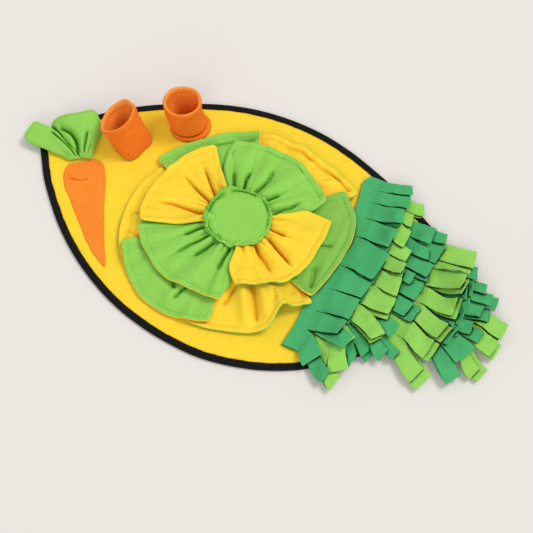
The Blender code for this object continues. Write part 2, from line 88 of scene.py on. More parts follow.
YELLOW = "#FFD934"
PETAL_YELLOW = "#FFDA38"
LEAF = "#91D256"
FRINGE_LEAF = "#96D75C"
TREE = "#49B16C"
CARROT = "#FC8A2A"
CUP = "#F67A1E"
# A lighter copy of the cup's orange for the inside of the cups: painted light, brighter than the lamps
# alone make it
LIT_LINING = "#FF9838"
TAPE = "#060605"
FLOOR = "#E6E2DD"


# %% Curves
def smooth_step(value):
    """0 below 0, 1 above 1 and an even curve between."""
    s = np.clip(value, 0, 1)
    return s * s * (3 - 2 * s)


def hump(value, middle, wide):
    """1 at the middle and next to nothing at more than twice the width from it."""
    return np.exp(-((value - middle) / wide) ** 2)


def through(a, b, c, d, t):
    """A smooth run from b to c that comes from a and heads for d, at the share t."""
    return 0.5 * (2 * b + (c - a) * t + (2 * a - 5 * b + 4 * c - d) * t ** 2
                  + (3 * b - a - 3 * c + d) * t ** 3)


def curve(values, share):
    """A smooth curve through even stations, read at each share of the way."""
    v = np.asarray(values, float)
    v = np.concatenate([[2 * v[0] - v[1]], v, [2 * v[-1] - v[-2]]])
    at = np.clip(share, 0, 1) * (len(values) - 1)
    k = np.minimum(at.astype(int), len(values) - 2)
    return through(v[k], v[k + 1], v[k + 2], v[k + 3], at - k)


def ripple(x, y, size, seed, count=7):
    """A smooth uneven field of about -1 to 1, made of waves of about this length."""
    draw = np.random.default_rng(seed)
    total = 0
    for _ in range(count):
        turn, phase = draw.uniform(0, TURN, 2)
        length = size * draw.uniform(0.7, 1.5)
        total = total + np.sin((x * math.cos(turn) + y * math.sin(turn)) * TURN / length + phase)
    return total / (1.4 * math.sqrt(count))


def steps_between(low, high, pitch, fine=None, fine_low=0.0, fine_high=0.0):
    """Values from low to high about pitch apart, and fine apart near either end."""
    made = [low]
    while made[-1] < high:
        near = made[-1] - low < fine_low or high - made[-1] < fine_high
        made.append(made[-1] + (fine if near else pitch))
    made = np.array(made)
    return low + (made - low) * (high - low) / (made[-1] - low)


# %% [markdown]
# ## One sheet of cloth
# Cloth has a thickness and a soft rounded edge, so a sheet is a closed shell round a
# middle surface. The shell is built in numpy, because one function then serves grids,
# rings and the comb shape of a fringe. A second ply of another colour starts at the
# seam, just below the upper edge, so its colour shows as a thin line round the first.


# %% The shell of a sheet
# Profiles of the edge, from the upper face to the lower one: columns are how far out and
# how far up, in shares of half the thickness
PLAIN_RIM = [(0.55, 0.83), (0.92, 0.4), (0.92, -0.4), (0.55, -0.83)]
SEAMED_RIM = [(0.45, 0.9), (0.8, 0.62), (1.02, 0.25), (1.0, -0.35), (0.6, -0.85)]
CUT_RIM = [(0.86, 0.98), (1.0, 0.8), (1.0, -0.8), (0.86, -0.98)]
SEAM_LEVEL = 2            # the second ply starts below this level of a seamed rim


def facings(points, quads):
    """The normal of each quad, as long as twice its area."""
    return np.cross(points[quads[:, 2]] - points[quads[:, 0]],
                    points[quads[:, 3]] - points[quads[:, 1]])


def vertex_normals(points, quads):
    """Unit normals at the points of a mesh of quads."""
    facing = facings(points, quads)
    normals = np.zeros_like(points)
    for k in range(4):
        np.add.at(normals, quads[:, k], facing)
    return normals / np.maximum(np.linalg.norm(normals, axis=1), 1e-9)[:, None]


def shell(points, quads, thick, rim=PLAIN_RIM):
    """A closed sheet round a middle surface: its points, faces and ply numbers."""
    half = np.broadcast_to(np.asarray(thick, float) / 2, (len(points),))
    used, quads = np.unique(quads.ravel(), return_inverse=True)
    quads = quads.reshape(-1, 4)
    points, half = points[used], half[used][:, None]
    count = len(points)
    normals = vertex_normals(points, quads)
    start, end = quads.ravel(), np.roll(quads, -1, 1).ravel()
    key = np.minimum(start, end) * count + np.maximum(start, end)
    _, place, uses = np.unique(key, return_inverse=True, return_counts=True)
    free = uses[place] == 1
    start, end = start[free], end[free]
    run = points[end] - points[start]
    run /= np.maximum(np.linalg.norm(run, axis=1), 1e-9)[:, None]
    out = np.zeros_like(points)
    np.add.at(out, start, np.cross(run, normals[start]))
    np.add.at(out, end, np.cross(run, normals[end]))
    out /= np.maximum(np.linalg.norm(out, axis=1), 1.0)[:, None]
    edge = np.unique(start)
    where = np.full(count, -1)
    where[edge] = np.arange(len(edge))
    rings = [(points + half * (o * out + u * normals))[edge] for o, u in rim]
    made = np.vstack([points + half * normals, points - half * normals] + rings)
    faces, plies = [quads, quads[:, ::-1] + count], [0, 1]
    firsts = [2 * count + k * len(edge) for k in range(len(rim))]
    levels = [(start, end)] + [(f + where[start], f + where[end]) for f in firsts]
    levels.append((count + start, count + end))
    for k in range(len(levels) - 1):
        (a, b), (c, d) = levels[k], levels[k + 1]
        faces.append(np.stack([b, a, c, d], 1))
        plies.append(int(k >= SEAM_LEVEL))
    ply = np.concatenate([np.full(len(f), p) for f, p in zip(faces, plies)])
    return made, np.vstack(faces), ply


def grid_quads(rows, columns, wrap=False):
    """Quads of a grid of points, row by row, facing the side where columns turn left."""
    r, c = np.meshgrid(np.arange(rows - 1), np.arange(columns - (not wrap)), indexing="ij")
    after = (c + 1) % columns
    quads = np.stack([r * columns + c, r * columns + after,
                      (r + 1) * columns + after, (r + 1) * columns + c], -1)
    return quads.reshape(-1, 4)


def face_up(points, quads):
    """The quads turned round if they face down on the whole."""
    return quads if facings(points, quads)[:, 2].sum() > 0 else quads[:, ::-1]


def make_piece(name, shells, materials):
    """One smooth object from closed shells in millimetres."""
    points, faces, plies, first = [], [], [], 0
    for spots, quads, ply in shells:
        points.append(spots)
        faces.append(quads + first)
        plies.append(ply)
        first += len(spots)
    mesh = bpy.data.meshes.new(name)
    mesh.from_pydata((np.vstack(points) * MM).tolist(), [], np.vstack(faces).tolist())
    for material in materials:
        mesh.materials.append(material)
    if len(materials) > 1:
        mesh.polygons.foreach_set("material_index", np.concatenate(plies).astype(np.int32))
    mesh.shade_smooth()
    made = bpy.data.objects.new(name, mesh)
    bpy.context.scene.collection.objects.link(made)
    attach(made, "root")
    return made


def cloth_area(points, quads):
    """Area of a middle surface, in square metres."""
    return float(np.linalg.norm(facings(points, quads), axis=1).sum() / 2 * MM * MM)


def grid_piece(name, middle, thick, materials, rim=PLAIN_RIM, wrap=False):
    """A piece whose middle surface is a grid of points, and the area of its cloth.

    A sheet is turned to face up. A tube, whose columns wrap round, faces outwards as is.
    """
    points = middle.reshape(-1, 3)
    quads = grid_quads(*middle.shape[:2], wrap)
    if not wrap:
        quads = face_up(points, quads)
    cloth = shell(points, quads, np.ravel(thick) if np.ndim(thick) else thick, rim)
    return make_piece(name, [cloth], materials), cloth_area(points, quads)


# %% [markdown]
# ## The pile
# Laid cloth takes its shape from what is under it. The pile keeps the top of all that
# has been laid as heights on an even grid. A new sheet bridges the small dips below it
# and sags over the wide ones, which a few hundred rounds of evening out give: each point
# moves to the middle of its neighbours, a little lower for its weight, and never below
# the pile.


# %% The pile
GAP = 0.35                # air between one laid cloth and the next
SAG = 0.03                # how fast cloth bends down where nothing holds it, per mm


def read_grid(grid, rows, columns):
    """Values of a grid at places between its rows and columns."""
    r = np.clip(np.asarray(rows, float), 0, grid.shape[0] - 1.001)
    c = np.clip(np.asarray(columns, float), 0, grid.shape[1] - 1.001)
    i, j = r.astype(int), c.astype(int)
    u, v = r - i, c - j
    if grid.ndim == 3:
        u, v = u[..., None], v[..., None]
    return (grid[i, j] * (1 - u) * (1 - v) + grid[i + 1, j] * u * (1 - v)
            + grid[i, j + 1] * (1 - u) * v + grid[i + 1, j + 1] * u * v)


class Pile:
    """The top of all that has been laid so far."""

    STEP = 1.25                       # between two heights
    LOW = np.array([-425.0, -260.0])  # where the grid starts
    SIZE = (704, 416)

    def __init__(self):
        self.top = np.zeros(self.SIZE)

    def lay(self, surface):
        """Add a grid of surface points to the pile."""
        for axis in (0, 1):
            count = surface.shape[axis]
            gap = np.linalg.norm(np.diff(surface[..., :2], axis=axis), axis=2).max()
            at = np.linspace(0, count - 1, (count - 1) * max(1, math.ceil(gap / self.STEP)) + 1)
            low = np.minimum(at.astype(int), count - 2)
            share = (at - low).reshape((-1, 1, 1) if axis == 0 else (1, -1, 1))
            surface = (np.take(surface, low, axis) * (1 - share)
                       + np.take(surface, low + 1, axis) * share)
        i, j = np.rint((surface[..., :2] - self.LOW) / self.STEP).astype(int).reshape(-1, 2).T
        np.maximum.at(self.top, (i, j), surface[..., 2].ravel())

    def under(self, spots, reach, top=None):
        """The highest point within reach of each spot, of the pile or of an earlier top."""
        at = (spots - self.LOW) / self.STEP
        margin = math.ceil(reach / self.STEP) + 2
        low = np.floor(at.reshape(-1, 2).min(0)).astype(int) - margin
        high = np.ceil(at.reshape(-1, 2).max(0)).astype(int) + margin
        low, high = np.maximum(low, 0), np.minimum(high, np.array(self.SIZE) - 1)
        part = (self.top if top is None else top)[low[0]:high[0] + 1, low[1]:high[1] + 1]
        for _ in range(math.ceil(reach / self.STEP)):
            for axis in (0, 1):
                wide = np.pad(part, [(1, 1) if k == axis else (0, 0) for k in (0, 1)], mode="edge")
                n = part.shape[axis]
                part = np.maximum.reduce([np.take(wide, range(k, k + n), axis) for k in (0, 1, 2)])
        return read_grid(part, at[..., 0] - low[0], at[..., 1] - low[1])


def mean_beside(z):
    """The mean height of the four neighbours of each point of a grid."""
    wide = np.pad(z, 1, mode="edge")
    return (wide[:-2, 1:-1] + wide[2:, 1:-1] + wide[1:-1, :-2] + wide[1:-1, 2:]) / 4


def even_out(z, rounds):
    """Round off the heights of a grid."""
    for _ in range(rounds):
        z = (z + mean_beside(z)) / 2
    return z


def drape(floor, pitch, rounds=160, held=0):
    """Heights of a sheet that lies on these floor heights; its first rows may be held."""
    z = floor.copy()
    for _ in range(rounds):
        z = np.maximum(floor, mean_beside(z) - SAG * pitch * pitch / 4)
        z[:held] = floor[:held]
    z = np.maximum(floor, even_out(z, 4))
    z[:held] = floor[:held]
    return z


pile = Pile()

# %% [markdown]
# ## Materials
# The mat is polyester fleece: knitted, then brushed until its face is a short, dense
# pile. That gives the eye a dead matt colour with a faint lighter bloom at grazing
# angles, small clumps of pile and a slightly mottled dye. Where cloth lies close to
# other cloth, its colour is darkened with painted shade. The binding is woven twill
# tape with fine ribs, and the thread is spun polyester.


# %% Node helper and materials
def add_node(tree, kind, links=(), **values):
    """A node with its settings by attribute or input name, and links into it."""
    node = tree.nodes.new(kind)
    for key, value in values.items():
        name = key.replace("_", " ")
        if name in node.inputs:
            node.inputs[name].default_value = value
        else:
            setattr(node, key, value)
    for source, target in links:
        tree.links.new(source, node.inputs[target])
    return node


def start_material(name, roughness, sheen):
    """A matt cloth material: its tree, its shader and its object coordinates."""
    made = bpy.data.materials.new(name)
    made.use_nodes = True
    tree = made.node_tree
    shader = tree.nodes["Principled BSDF"]
    shader.inputs["Roughness"].default_value = roughness
    shader.inputs["IOR"].default_value = 1.45
    shader.inputs["Specular IOR Level"].default_value = 0.15
    shader.inputs["Sheen Weight"].default_value = sheen
    shader.inputs["Sheen Roughness"].default_value = 0.5
    place = add_node(tree, "ShaderNodeTexCoord").outputs["Object"]
    return made, tree, shader, place


SHADE_REACH_MM = 8.0             # cloth closer than this to other cloth gets painted shade


def painted_shade_colour(code, shade_light):
    """Painted shade: a deeper colour, the dye's colour squared and scaled by this much light."""
    return tuple(shade_light * c ** 2.0 for c in linear(code)[:3]) + (1.0,)


CLUMP_MM = 2.4            # clumps of brushed pile, drawn coarser than real so that they show
PILE_MM = 0.7             # single tufts of it
MOTTLE_MM = 22.0          # spots where the dye took a little differently
MOTTLE_SHARE = 0.3


def fleece(name, colour, shade_reach=SHADE_REACH_MM, shade_light=0.78, grain=0.05, full_shade_below=0.3):
    """Brushed polyester fleece: dead matt, clumped pile, a slightly uneven dye.

    Painted shade: a spot where other cloth is closer than the given reach gets a darker
    painted shade colour, fully so where less than the given share of its surroundings is open."""
    made, tree, shader, place = start_material(name, 0.95, 0.12)
    shader.inputs["Sheen Tint"].default_value = linear(shade(colour, 0.35))
    clumps = add_node(tree, "ShaderNodeTexNoise", [(place, "Vector")],
                      Scale=1 / (CLUMP_MM * MM), Detail=3.0, Roughness=0.6)
    hairs = add_node(tree, "ShaderNodeTexNoise", [(place, "Vector")],
                     Scale=1 / (PILE_MM * MM), Detail=2.0, Roughness=0.7)
    mottle = add_node(tree, "ShaderNodeTexNoise", [(place, "Vector")],
                      Scale=1 / (MOTTLE_MM * MM), Detail=2.0)
    blend = add_node(tree, "ShaderNodeMath", [(mottle.outputs["Fac"], 0), (clumps.outputs["Fac"], 2)],
                     operation="MULTIPLY_ADD")
    blend.inputs[1].default_value = MOTTLE_SHARE
    ramp = add_node(tree, "ShaderNodeValToRGB", [(blend.outputs[0], "Fac")])
    low, high = ramp.color_ramp.elements
    low.position, high.position = 0.5, 0.8
    low.color, high.color = linear(shade(colour, -grain)), linear(shade(colour, 0.8 * grain))
    # Painted shade: ambient occlusion finds where other cloth is near, and there the colour is mixed
    # towards a deeper painted shade
    closed = add_node(tree, "ShaderNodeAmbientOcclusion", samples=8, Distance=shade_reach * MM)
    unshaded_share = add_node(tree, "ShaderNodeValToRGB", [(closed.outputs["AO"], "Fac")])
    for element, position in zip(unshaded_share.color_ramp.elements, (full_shade_below, 0.9)):
        element.position = position
    painted_shade_mix = add_node(tree, "ShaderNodeMixRGB", [(unshaded_share.outputs["Color"], "Fac"),
                                                 (ramp.outputs["Color"], "Color2")])
    painted_shade_mix.inputs["Color1"].default_value = painted_shade_colour(colour, shade_light)
    tree.links.new(painted_shade_mix.outputs["Color"], shader.inputs["Base Color"])
    both = add_node(tree, "ShaderNodeMath", [(clumps.outputs["Fac"], 0), (hairs.outputs["Fac"], 1)],
                    operation="ADD")
    bump = add_node(tree, "ShaderNodeBump", [(both.outputs[0], "Height")],
                    Strength=0.35, Distance=0.0005)
    tree.links.new(bump.outputs["Normal"], shader.inputs["Normal"])
    return made


RIB_MM = 1.1              # ribs of the twill tape, drawn a little coarser than real
BAND = 0.31               # width of one band of a wave texture at scale 1
TWIST_MM = 2 / 3          # between two plies of the thread, drawn coarser than real


def twill_tape(name, colour):
    """Woven polyester twill tape: fine slanting ribs and a faint shine."""
    made, tree, shader, place = start_material(name, 0.7, 0.05)
    ribs = add_node(tree, "ShaderNodeTexWave", [(place, "Vector")], wave_type="BANDS",
                    bands_direction="DIAGONAL", Scale=BAND / (RIB_MM * MM), Distortion=0.4)
    ramp = add_node(tree, "ShaderNodeValToRGB", [(ribs.outputs["Fac"], "Fac")])
    low, high = ramp.color_ramp.elements
    low.color, high.color = linear(shade(colour, -0.3)), linear(shade(colour, 0.05))
    tree.links.new(ramp.outputs["Color"], shader.inputs["Base Color"])
    bump = add_node(tree, "ShaderNodeBump", [(ribs.outputs["Fac"], "Height")],
                    Strength=0.4, Distance=0.0003)
    tree.links.new(bump.outputs["Normal"], shader.inputs["Normal"])
    return made


def spun_thread(name, colour):
    """Spun polyester sewing thread, a little shinier than the fleece round it."""
    made, tree, shader, place = start_material(name, 0.6, 0.1)
    twist = add_node(tree, "ShaderNodeTexNoise", [(place, "Vector")],
                     Scale=1 / (TWIST_MM * MM), Detail=1.0)
    ramp = add_node(tree, "ShaderNodeValToRGB", [(twist.outputs["Fac"], "Fac")])
    low, high = ramp.color_ramp.elements
    low.color, high.color = linear(shade(colour, -0.12)), linear(shade(colour, 0.04))
    tree.links.new(ramp.outputs["Color"], shader.inputs["Base Color"])
    return made


# Every fleece gets painted shade near other cloth; the fringe and the cups get the darkest
yellow = fleece("fleece_yellow_base", YELLOW, shade_reach=3.5)
petal_yellow = fleece("fleece_yellow_petal", PETAL_YELLOW)
leaf_green = fleece("fleece_leaf_green", LEAF)
# A darker copy of the leaf green: painted shade for the lower petal that lies under the upper ones
painted_shade_leaf_green = fleece("fleece_leaf_green_painted_shade", shade(LEAF, -0.07))
fringe_green = fleece("fleece_fringe_green", FRINGE_LEAF, shade_reach=5.5, shade_light=0.06, full_shade_below=0.52)
tree_green = fleece("fleece_tree_green", TREE, shade_reach=6.5, shade_light=0.04, full_shade_below=0.58)
carrot_orange = fleece("fleece_carrot_orange", CARROT, shade_reach=4.0)
cup_orange = fleece("fleece_cup_orange", CUP, shade_reach=6.0, shade_light=0.3)
# The inside of a cup is a lighter orange with little painted shade: painted light
lit_cup_lining = fleece("fleece_cup_lining_painted_light", LIT_LINING, shade_reach=1.0)
binding_tape = twill_tape("twill_tape_black", TAPE)
yellow_thread = spun_thread("thread_yellow", shade(PETAL_YELLOW, -0.16))
green_thread = spun_thread("thread_green", shade(LEAF, -0.2))
orange_thread = spun_thread("thread_orange", shade(CARROT, -0.12))
brown_thread = spun_thread("thread_brown", "#6E2C08")
# Dark rust thread for the right cup's foot: partly real stitching, partly painted shade of the crease
# above the foot
crease_shade_thread = spun_thread("thread_rust_painted_shade", "#A93A12")
black_thread = spun_thread("thread_black", shade(TAPE, 0.06))

# %% [markdown]
# ## Stitches
# A line of topstitching is a row of short threads that sink into the cloth at both
# ends. One stitch is a thin cylinder whose ends are narrowed and pushed down. For each
# seam it is copied, repeated by an Array modifier and bent along the seam by a Curve
# modifier, which is how a repeated thing follows a line in Blender.

# %% One stitch
STITCH_PITCH = 3.4
STITCH_LONG = 2.5
STITCH_THICK = 0.6
STITCH_TAPER = 0.4        # thickness of its ends, as a share of the middle
STITCH_SUNK = 0.25        # how far the ends go down into the cloth
STITCH_RAISED = 0.1       # how far its middle line lies above the cloth


def deselect_all():
    """Nothing selected, so that an operator acts on its own piece only."""
    for thing in bpy.context.scene.objects:
        thing.select_set(False)


def make_stitch():
    """One stitch along +X, thick in the middle, with sunk ends."""
    deselect_all()
    bpy.ops.mesh.primitive_cylinder_add(vertices=6, radius=STITCH_THICK / 2 * MM,
                                        depth=STITCH_LONG * MM, rotation=(0, math.pi / 2, 0))
    made = bpy.context.object
    bpy.ops.object.transform_apply(location=False, rotation=True, scale=False)
    bpy.ops.object.mode_set(mode="EDIT")
    bpy.ops.mesh.select_all(action="SELECT")
    bpy.ops.mesh.bisect(plane_co=(0, 0, 0), plane_no=(1, 0, 0))
    bpy.ops.object.mode_set(mode="OBJECT")
    for vertex in made.data.vertices:
        vertex.select = abs(vertex.co.x) > STITCH_LONG / 4 * MM
    bpy.ops.object.mode_set(mode="EDIT")
    bpy.ops.mesh.select_mode(type="VERT")
    bpy.ops.transform.resize(value=(1, STITCH_TAPER, STITCH_TAPER))
    bpy.ops.transform.translate(value=(0, 0, -STITCH_SUNK * MM))
    bpy.ops.mesh.select_all(action="SELECT")
    bpy.ops.transform.translate(value=(STITCH_PITCH / 2 * MM, 0, STITCH_RAISED * MM))
    bpy.ops.object.mode_set(mode="OBJECT")
    bpy.ops.object.shade_smooth()
    return made


stitch = make_stitch()
print("stitch of", len(stitch.data.polygons), "faces")


# %% A row of stitches along a seam
def seam_curve(route):
    """A curve through the points of a seam, which keeps its copies upright."""
    data = bpy.data.curves.new("seam", "CURVE")
    data.dimensions = "3D"
    data.twist_mode = "Z_UP"
    line = data.splines.new("POLY")
    line.points.add(len(route) - 1)
    ends = np.column_stack([np.asarray(route) * MM, np.ones(len(route))])
    line.points.foreach_set("co", ends.ravel())
    made = bpy.data.objects.new("seam", data)
    bpy.context.scene.collection.objects.link(made)
    return made


def sew(name, routes, thread):
    """One object with all the stitches along these routes."""
    deselect_all()
    rows = []
    for route in routes:
        length = np.linalg.norm(np.diff(route, axis=0), axis=1).sum()
        count = max(1, int(length / STITCH_PITCH))
        seam = seam_curve(route)
        row = bpy.data.objects.new(name, stitch.data.copy())
        bpy.context.scene.collection.objects.link(row)
        bpy.context.view_layer.objects.active = row
        repeat = row.modifiers.new("repeat", "ARRAY")
        repeat.count = count
        repeat.use_relative_offset = False
        repeat.use_constant_offset = True
        repeat.constant_offset_displace = (length / count * MM, 0, 0)
        bend = row.modifiers.new("along the seam", "CURVE")
        bend.object = seam
        for modifier in ("repeat", "along the seam"):
            bpy.ops.object.modifier_apply(modifier=modifier)
        bpy.data.objects.remove(seam)
        rows.append(row)
    for row in rows:
        row.select_set(True)
    bpy.context.view_layer.objects.active = rows[0]
    if len(rows) > 1:
        bpy.ops.object.join()
    made = bpy.context.view_layer.objects.active
    made.name = name
    made.data.materials.clear()
    made.data.materials.append(thread)
    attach(made, "root")
    deselect_all()
    return made


# %% [markdown]
# ## The base and its binding
# The base is a padded cloth, so its top is not quite flat: it dips where the binding
# is sewn through it and swells softly between the seams. A square grid is pressed into
# the outline, which leaves no pole in the middle.

# %% Outline of the mat
MAT_THICK = 4.5
TAPE_THICK = 1.2
BASE_CELLS = 150
BASE_INSIDE = 2.4         # the base ends this far inside the outline, in the fold of the tape
BASE_SWELL = 0.25         # how much thicker the padding is away from the seam
SEAM_PRESS = 1.35         # how far the seam of the binding presses the padding in

# Edge of the mat: columns are x, y of the far edge, y of the near edge
MAT_EDGE = [
    (-354, 31, 3), (-339, 53, -18), (-314, 85, -52), (-264, 129, -104),
    (-214, 161, -144), (-164, 186, -174), (-114, 205, -196), (-64, 216, -210),
    (-14, 219.5, -217.5), (36, 216.5, -219), (86, 206, -211), (136, 189, -195),
    (186, 168, -168), (236, 143, -126), (286, 113, -84), (316, 89, -57),
    (341, 61, -30), (356, 38, -8),
]
MAT_TIPS = ((-362, 17), (364, 14))


def closed_curve(points, count):
    """A closed smooth curve through the points, cut into even steps."""
    p = np.asarray(points, float)
    a, b, c, d = (np.roll(p, s, 0)[:, None] for s in (1, 0, -1, -2))
    t = np.linspace(0, 1, 16, endpoint=False)[None, :, None]
    dense = through(a, b, c, d, t).reshape(-1, 2)
    ring = np.vstack([dense, dense[:1]])
    along = np.r_[0, np.cumsum(np.hypot(*np.diff(ring, axis=0).T))]
    at = np.linspace(0, along[-1], count, endpoint=False)
    return np.stack([np.interp(at, along, ring[:, k]) for k in (0, 1)], 1)


def move_in(loop, distance):
    """A counterclockwise loop moved inwards, by one distance or by one at each point."""
    run = np.roll(loop, -1, 0) - np.roll(loop, 1, 0)
    run /= np.hypot(*run.T)[:, None]
    inward = np.stack([-run[:, 1], run[:, 0]], 1)
    return loop + np.asarray(distance).reshape(-1, 1) * inward


outline = closed_curve([MAT_TIPS[0]] + [(x, low) for x, _, low in MAT_EDGE] + [MAT_TIPS[1]]
                       + [(x, high) for x, high, _ in reversed(MAT_EDGE)], 800)


def round_grid(cells, edge_of):
    """A square grid pressed into a round shape: its spots and its share of the way out."""
    side = np.linspace(-1, 1, cells + 1)
    u, v = np.meshgrid(side, side, indexing="ij")
    x, y = u * np.sqrt(1 - v ** 2 / 2), v * np.sqrt(1 - u ** 2 / 2)
    share, turn = np.hypot(x, y), np.arctan2(y, x)
    reach = edge_of(turn)
    return np.stack([share * reach * np.cos(turn), share * reach * np.sin(turn)], 2), share


# %% The base
def base_reach(turn):
    """How far the base reaches in a direction, to just inside the binding's fold."""
    loop = move_in(outline, BASE_INSIDE)
    around = np.unwrap(np.arctan2(loop[:, 1], loop[:, 0]))
    order = np.argsort(around % TURN)
    return np.interp(turn % TURN, (around % TURN)[order], np.hypot(*loop[order].T), period=TURN)


def make_base():
    """The padded base, flat below and softly uneven above."""
    spots, share = round_grid(BASE_CELLS, base_reach)
    x, y = spots[..., 0], spots[..., 1]
    from_edge = (1 - share) * np.hypot(x, y) / np.maximum(share, 1e-6)
    inside = smooth_step((from_edge - 14) / 30)
    swell = BASE_SWELL + 0.45 * ripple(x, y, 110, 3) + 0.22 * ripple(x, y, 45, 4)
    pressed = SEAM_PRESS * (1 - smooth_step((from_edge - 7) / 9))
    thick = MAT_THICK + swell * inside - pressed
    piece, area = grid_piece("base_cloth", np.dstack([spots, thick / 2]), thick, [yellow])
    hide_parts("mat_base")
    pile.lay(np.dstack([spots, thick]))
    return piece, area


base, base_area = make_base()
print("base of", round(base_area, 3), "m2")

# %% [markdown]
# ## Binding
# The binding is a strip of twill folded over the edge and sewn through from above. Its
# middle line is a C round the edge of the base, lofted along the outline.

# %% Binding
BIND_STATIONS = 800
BIND_LONG = 1950.0        # length of the tape round the mat
# Middle line of the tape: columns are the distance in from the edge and the height
TAPE_SECTION = [
    (10.6, 4.15), (10.1, 4.55), (8.4, 4.62), (6.5, 4.85), (4.5, 4.9), (2.8, 4.75), (1.5, 4.25),
    (0.8, 3.3), (0.62, 2.4), (0.8, 1.5), (1.6, 0.75), (3.0, 0.62), (6.0, 0.62), (9.4, 0.62),
]
TAPE_UPPER = 2.4          # above this height the tape is its upper side
SEAM_IN, SEAM_HIGH = 8.0, 5.3


def make_binding():
    """The folded tape, with the small waves that sewing leaves in its inner edge."""
    loop = closed_curve(outline[::4], BIND_STATIONS)
    at = np.arange(BIND_STATIONS) / BIND_STATIONS * BIND_LONG
    rows = []
    for inward, height in TAPE_SECTION:
        near_edge = smooth_step((inward - 5) / 4) * (height > TAPE_UPPER)
        wave = near_edge * (0.35 * ripple(at, 0 * at, 24, 11) + 0.2 * ripple(at, 0 * at, 9, 12))
        dimple = near_edge * 0.12 * np.cos(at / STITCH_PITCH * TURN)
        ring = move_in(loop, inward + wave)
        lift = 0.12 * ripple(at, 0 * at, 40, 13) * (height > TAPE_UPPER)
        rows.append(np.column_stack([ring, height + lift + dimple]))
    middle = np.array(rows)
    points = middle.reshape(-1, 3)
    quads = grid_quads(len(rows), BIND_STATIONS, wrap=True)[:, ::-1]
    piece = make_piece("binding_cloth", [shell(points, quads, TAPE_THICK)], [binding_tape])
    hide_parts("binding")
    closed = np.concatenate([middle, middle[:, :1]], 1)
    pile.lay(closed + (0, 0, TAPE_THICK / 2))
    seam = np.column_stack([move_in(loop, SEAM_IN), np.full(BIND_STATIONS, SEAM_HIGH)])
    return piece, cloth_area(points, quads), np.vstack([seam, seam[:1]])


binding, binding_area, binding_seam = make_binding()
binding_stitches = sew("binding_stitches", [binding_seam], black_thread)
print("binding of", round(binding_area, 4), "m2")

# %% [markdown]
# ## Carrot
# The carrot is a flat patch of one orange cloth with its edges turned under and
# topstitched, and a small dart near its top that stands for a growth line. A grid of
# rows from crown to point takes its width from a short table. The stitching pulls a
# shallow groove inside the edge, and the dart is a sharp groove between two low lips.

# %% Carrot
CARROT_CROWN = (-278.0, 6.0)
CARROT_TURN = math.radians(-51.5)
CARROT_LONG = 192.0
CARROT_THICK = 1.5
CARROT_SEAM = 4.0         # distance of the stitching from the edge
CARROT_ROWS, CARROT_COLUMNS = 200, 61

# Columns are the distance from the crown and the half widths on the left and the right
CARROT_SECTIONS = [
    (0, 22, 18), (6, 28, 25), (14, 32, 29), (24, 34, 30), (42, 34, 27), (60, 30, 23),
    (85, 27, 17), (110, 23, 12.5), (136, 19, 8), (161, 14, 4.5), (179, 7, 2.5), (192, 1, 0.7),
]
# The dart: columns are the distance from the crown and how far to the left
CARROT_DART = [(26, 24), (31, 18), (34.5, 8), (34, 0)]
DART_DEEP, DART_LIPS = 3.6, 2.0
DART_BESIDE = 34.0        # half width of the carrot there
carrot_along = np.array([math.cos(CARROT_TURN), math.sin(CARROT_TURN)])
carrot_left = np.array([carrot_along[1], -carrot_along[0]])


def crease(spots, line, wide):
    """Nearness of spots to a line of points, 1 on it, and the share of the way along it."""
    line = np.asarray(line, float)
    near = np.full(spots.shape[:-1], 1e9)
    share = np.zeros_like(near)
    for k, (a, b) in enumerate(zip(line, line[1:])):
        run = b - a
        t = np.clip(((spots - a) @ run) / (run @ run), 0, 1)
        gap = np.linalg.norm(spots - a - t[..., None] * run, axis=-1)
        share = np.where(gap < near, (k + t) / (len(line) - 1), share)
        near = np.minimum(near, gap)
    return hump(near, 0, wide), share


def make_carrot():
    """The carrot patch and its stitching."""
    table = np.array(CARROT_SECTIONS, float)
    down = np.linspace(0, CARROT_LONG, CARROT_ROWS)
    wide_left, wide_right = (np.interp(down, table[:, 0], table[:, k]) for k in (1, 2))
    for half in (wide_left, wide_right):
        half[1:-1] = np.convolve(half, (0.25, 0.5, 0.25), "valid")
        half += 0.4 * ripple(down, 0 * down, 23, int(half[3] * 10))
    share = np.linspace(-1, 1, CARROT_COLUMNS)
    aside = np.where(share < 0, share * wide_right[:, None], share * wide_left[:, None])
    spots = (np.array(CARROT_CROWN) + down[:, None, None] * carrot_along
             + aside[..., None] * carrot_left)
    edge = np.minimum(aside + wide_right[:, None], wide_left[:, None] - aside)
    edge = np.minimum(edge, np.minimum(down, CARROT_LONG - down)[:, None])
    floor = pile.under(spots, 1.5) + GAP + CARROT_THICK / 2
    puff = 0.5 * smooth_step((edge - 3) / 9) - 0.3 * hump(edge, CARROT_SEAM, 1.0)
    flat = np.dstack([down[:, None] + 0 * aside, aside])
    dart, _ = crease(flat, CARROT_DART, 1.3)
    lips, _ = crease(flat, CARROT_DART, 5.0)
    z = floor + 0.1 + puff + 0.2 * ripple(spots[..., 0], spots[..., 1], 26, 21)
    z = np.maximum(z + DART_LIPS * lips - DART_DEEP * dart, floor - 0.2)
    middle = np.dstack([spots, z])
    piece, area = grid_piece("carrot_cloth", middle, CARROT_THICK, [carrot_orange])
    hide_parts("carrot")
    top = middle + (0, 0, CARROT_THICK / 2)
    pile.lay(top)
    rows = np.arange(5, CARROT_ROWS - 10, 2)
    far = CARROT_COLUMNS - 1
    side = CARROT_SEAM / np.maximum(wide_left + wide_right, 9)[rows] * far
    seams = [read_grid(top, rows, side), read_grid(top, rows, far - side)]
    dart_rows = np.interp([out for out, _ in CARROT_DART], down, range(CARROT_ROWS))
    dart_columns = [far * (0.5 + 0.5 * left / DART_BESIDE) for _, left in CARROT_DART]
    return piece, area, seams, read_grid(top, dart_rows, dart_columns)


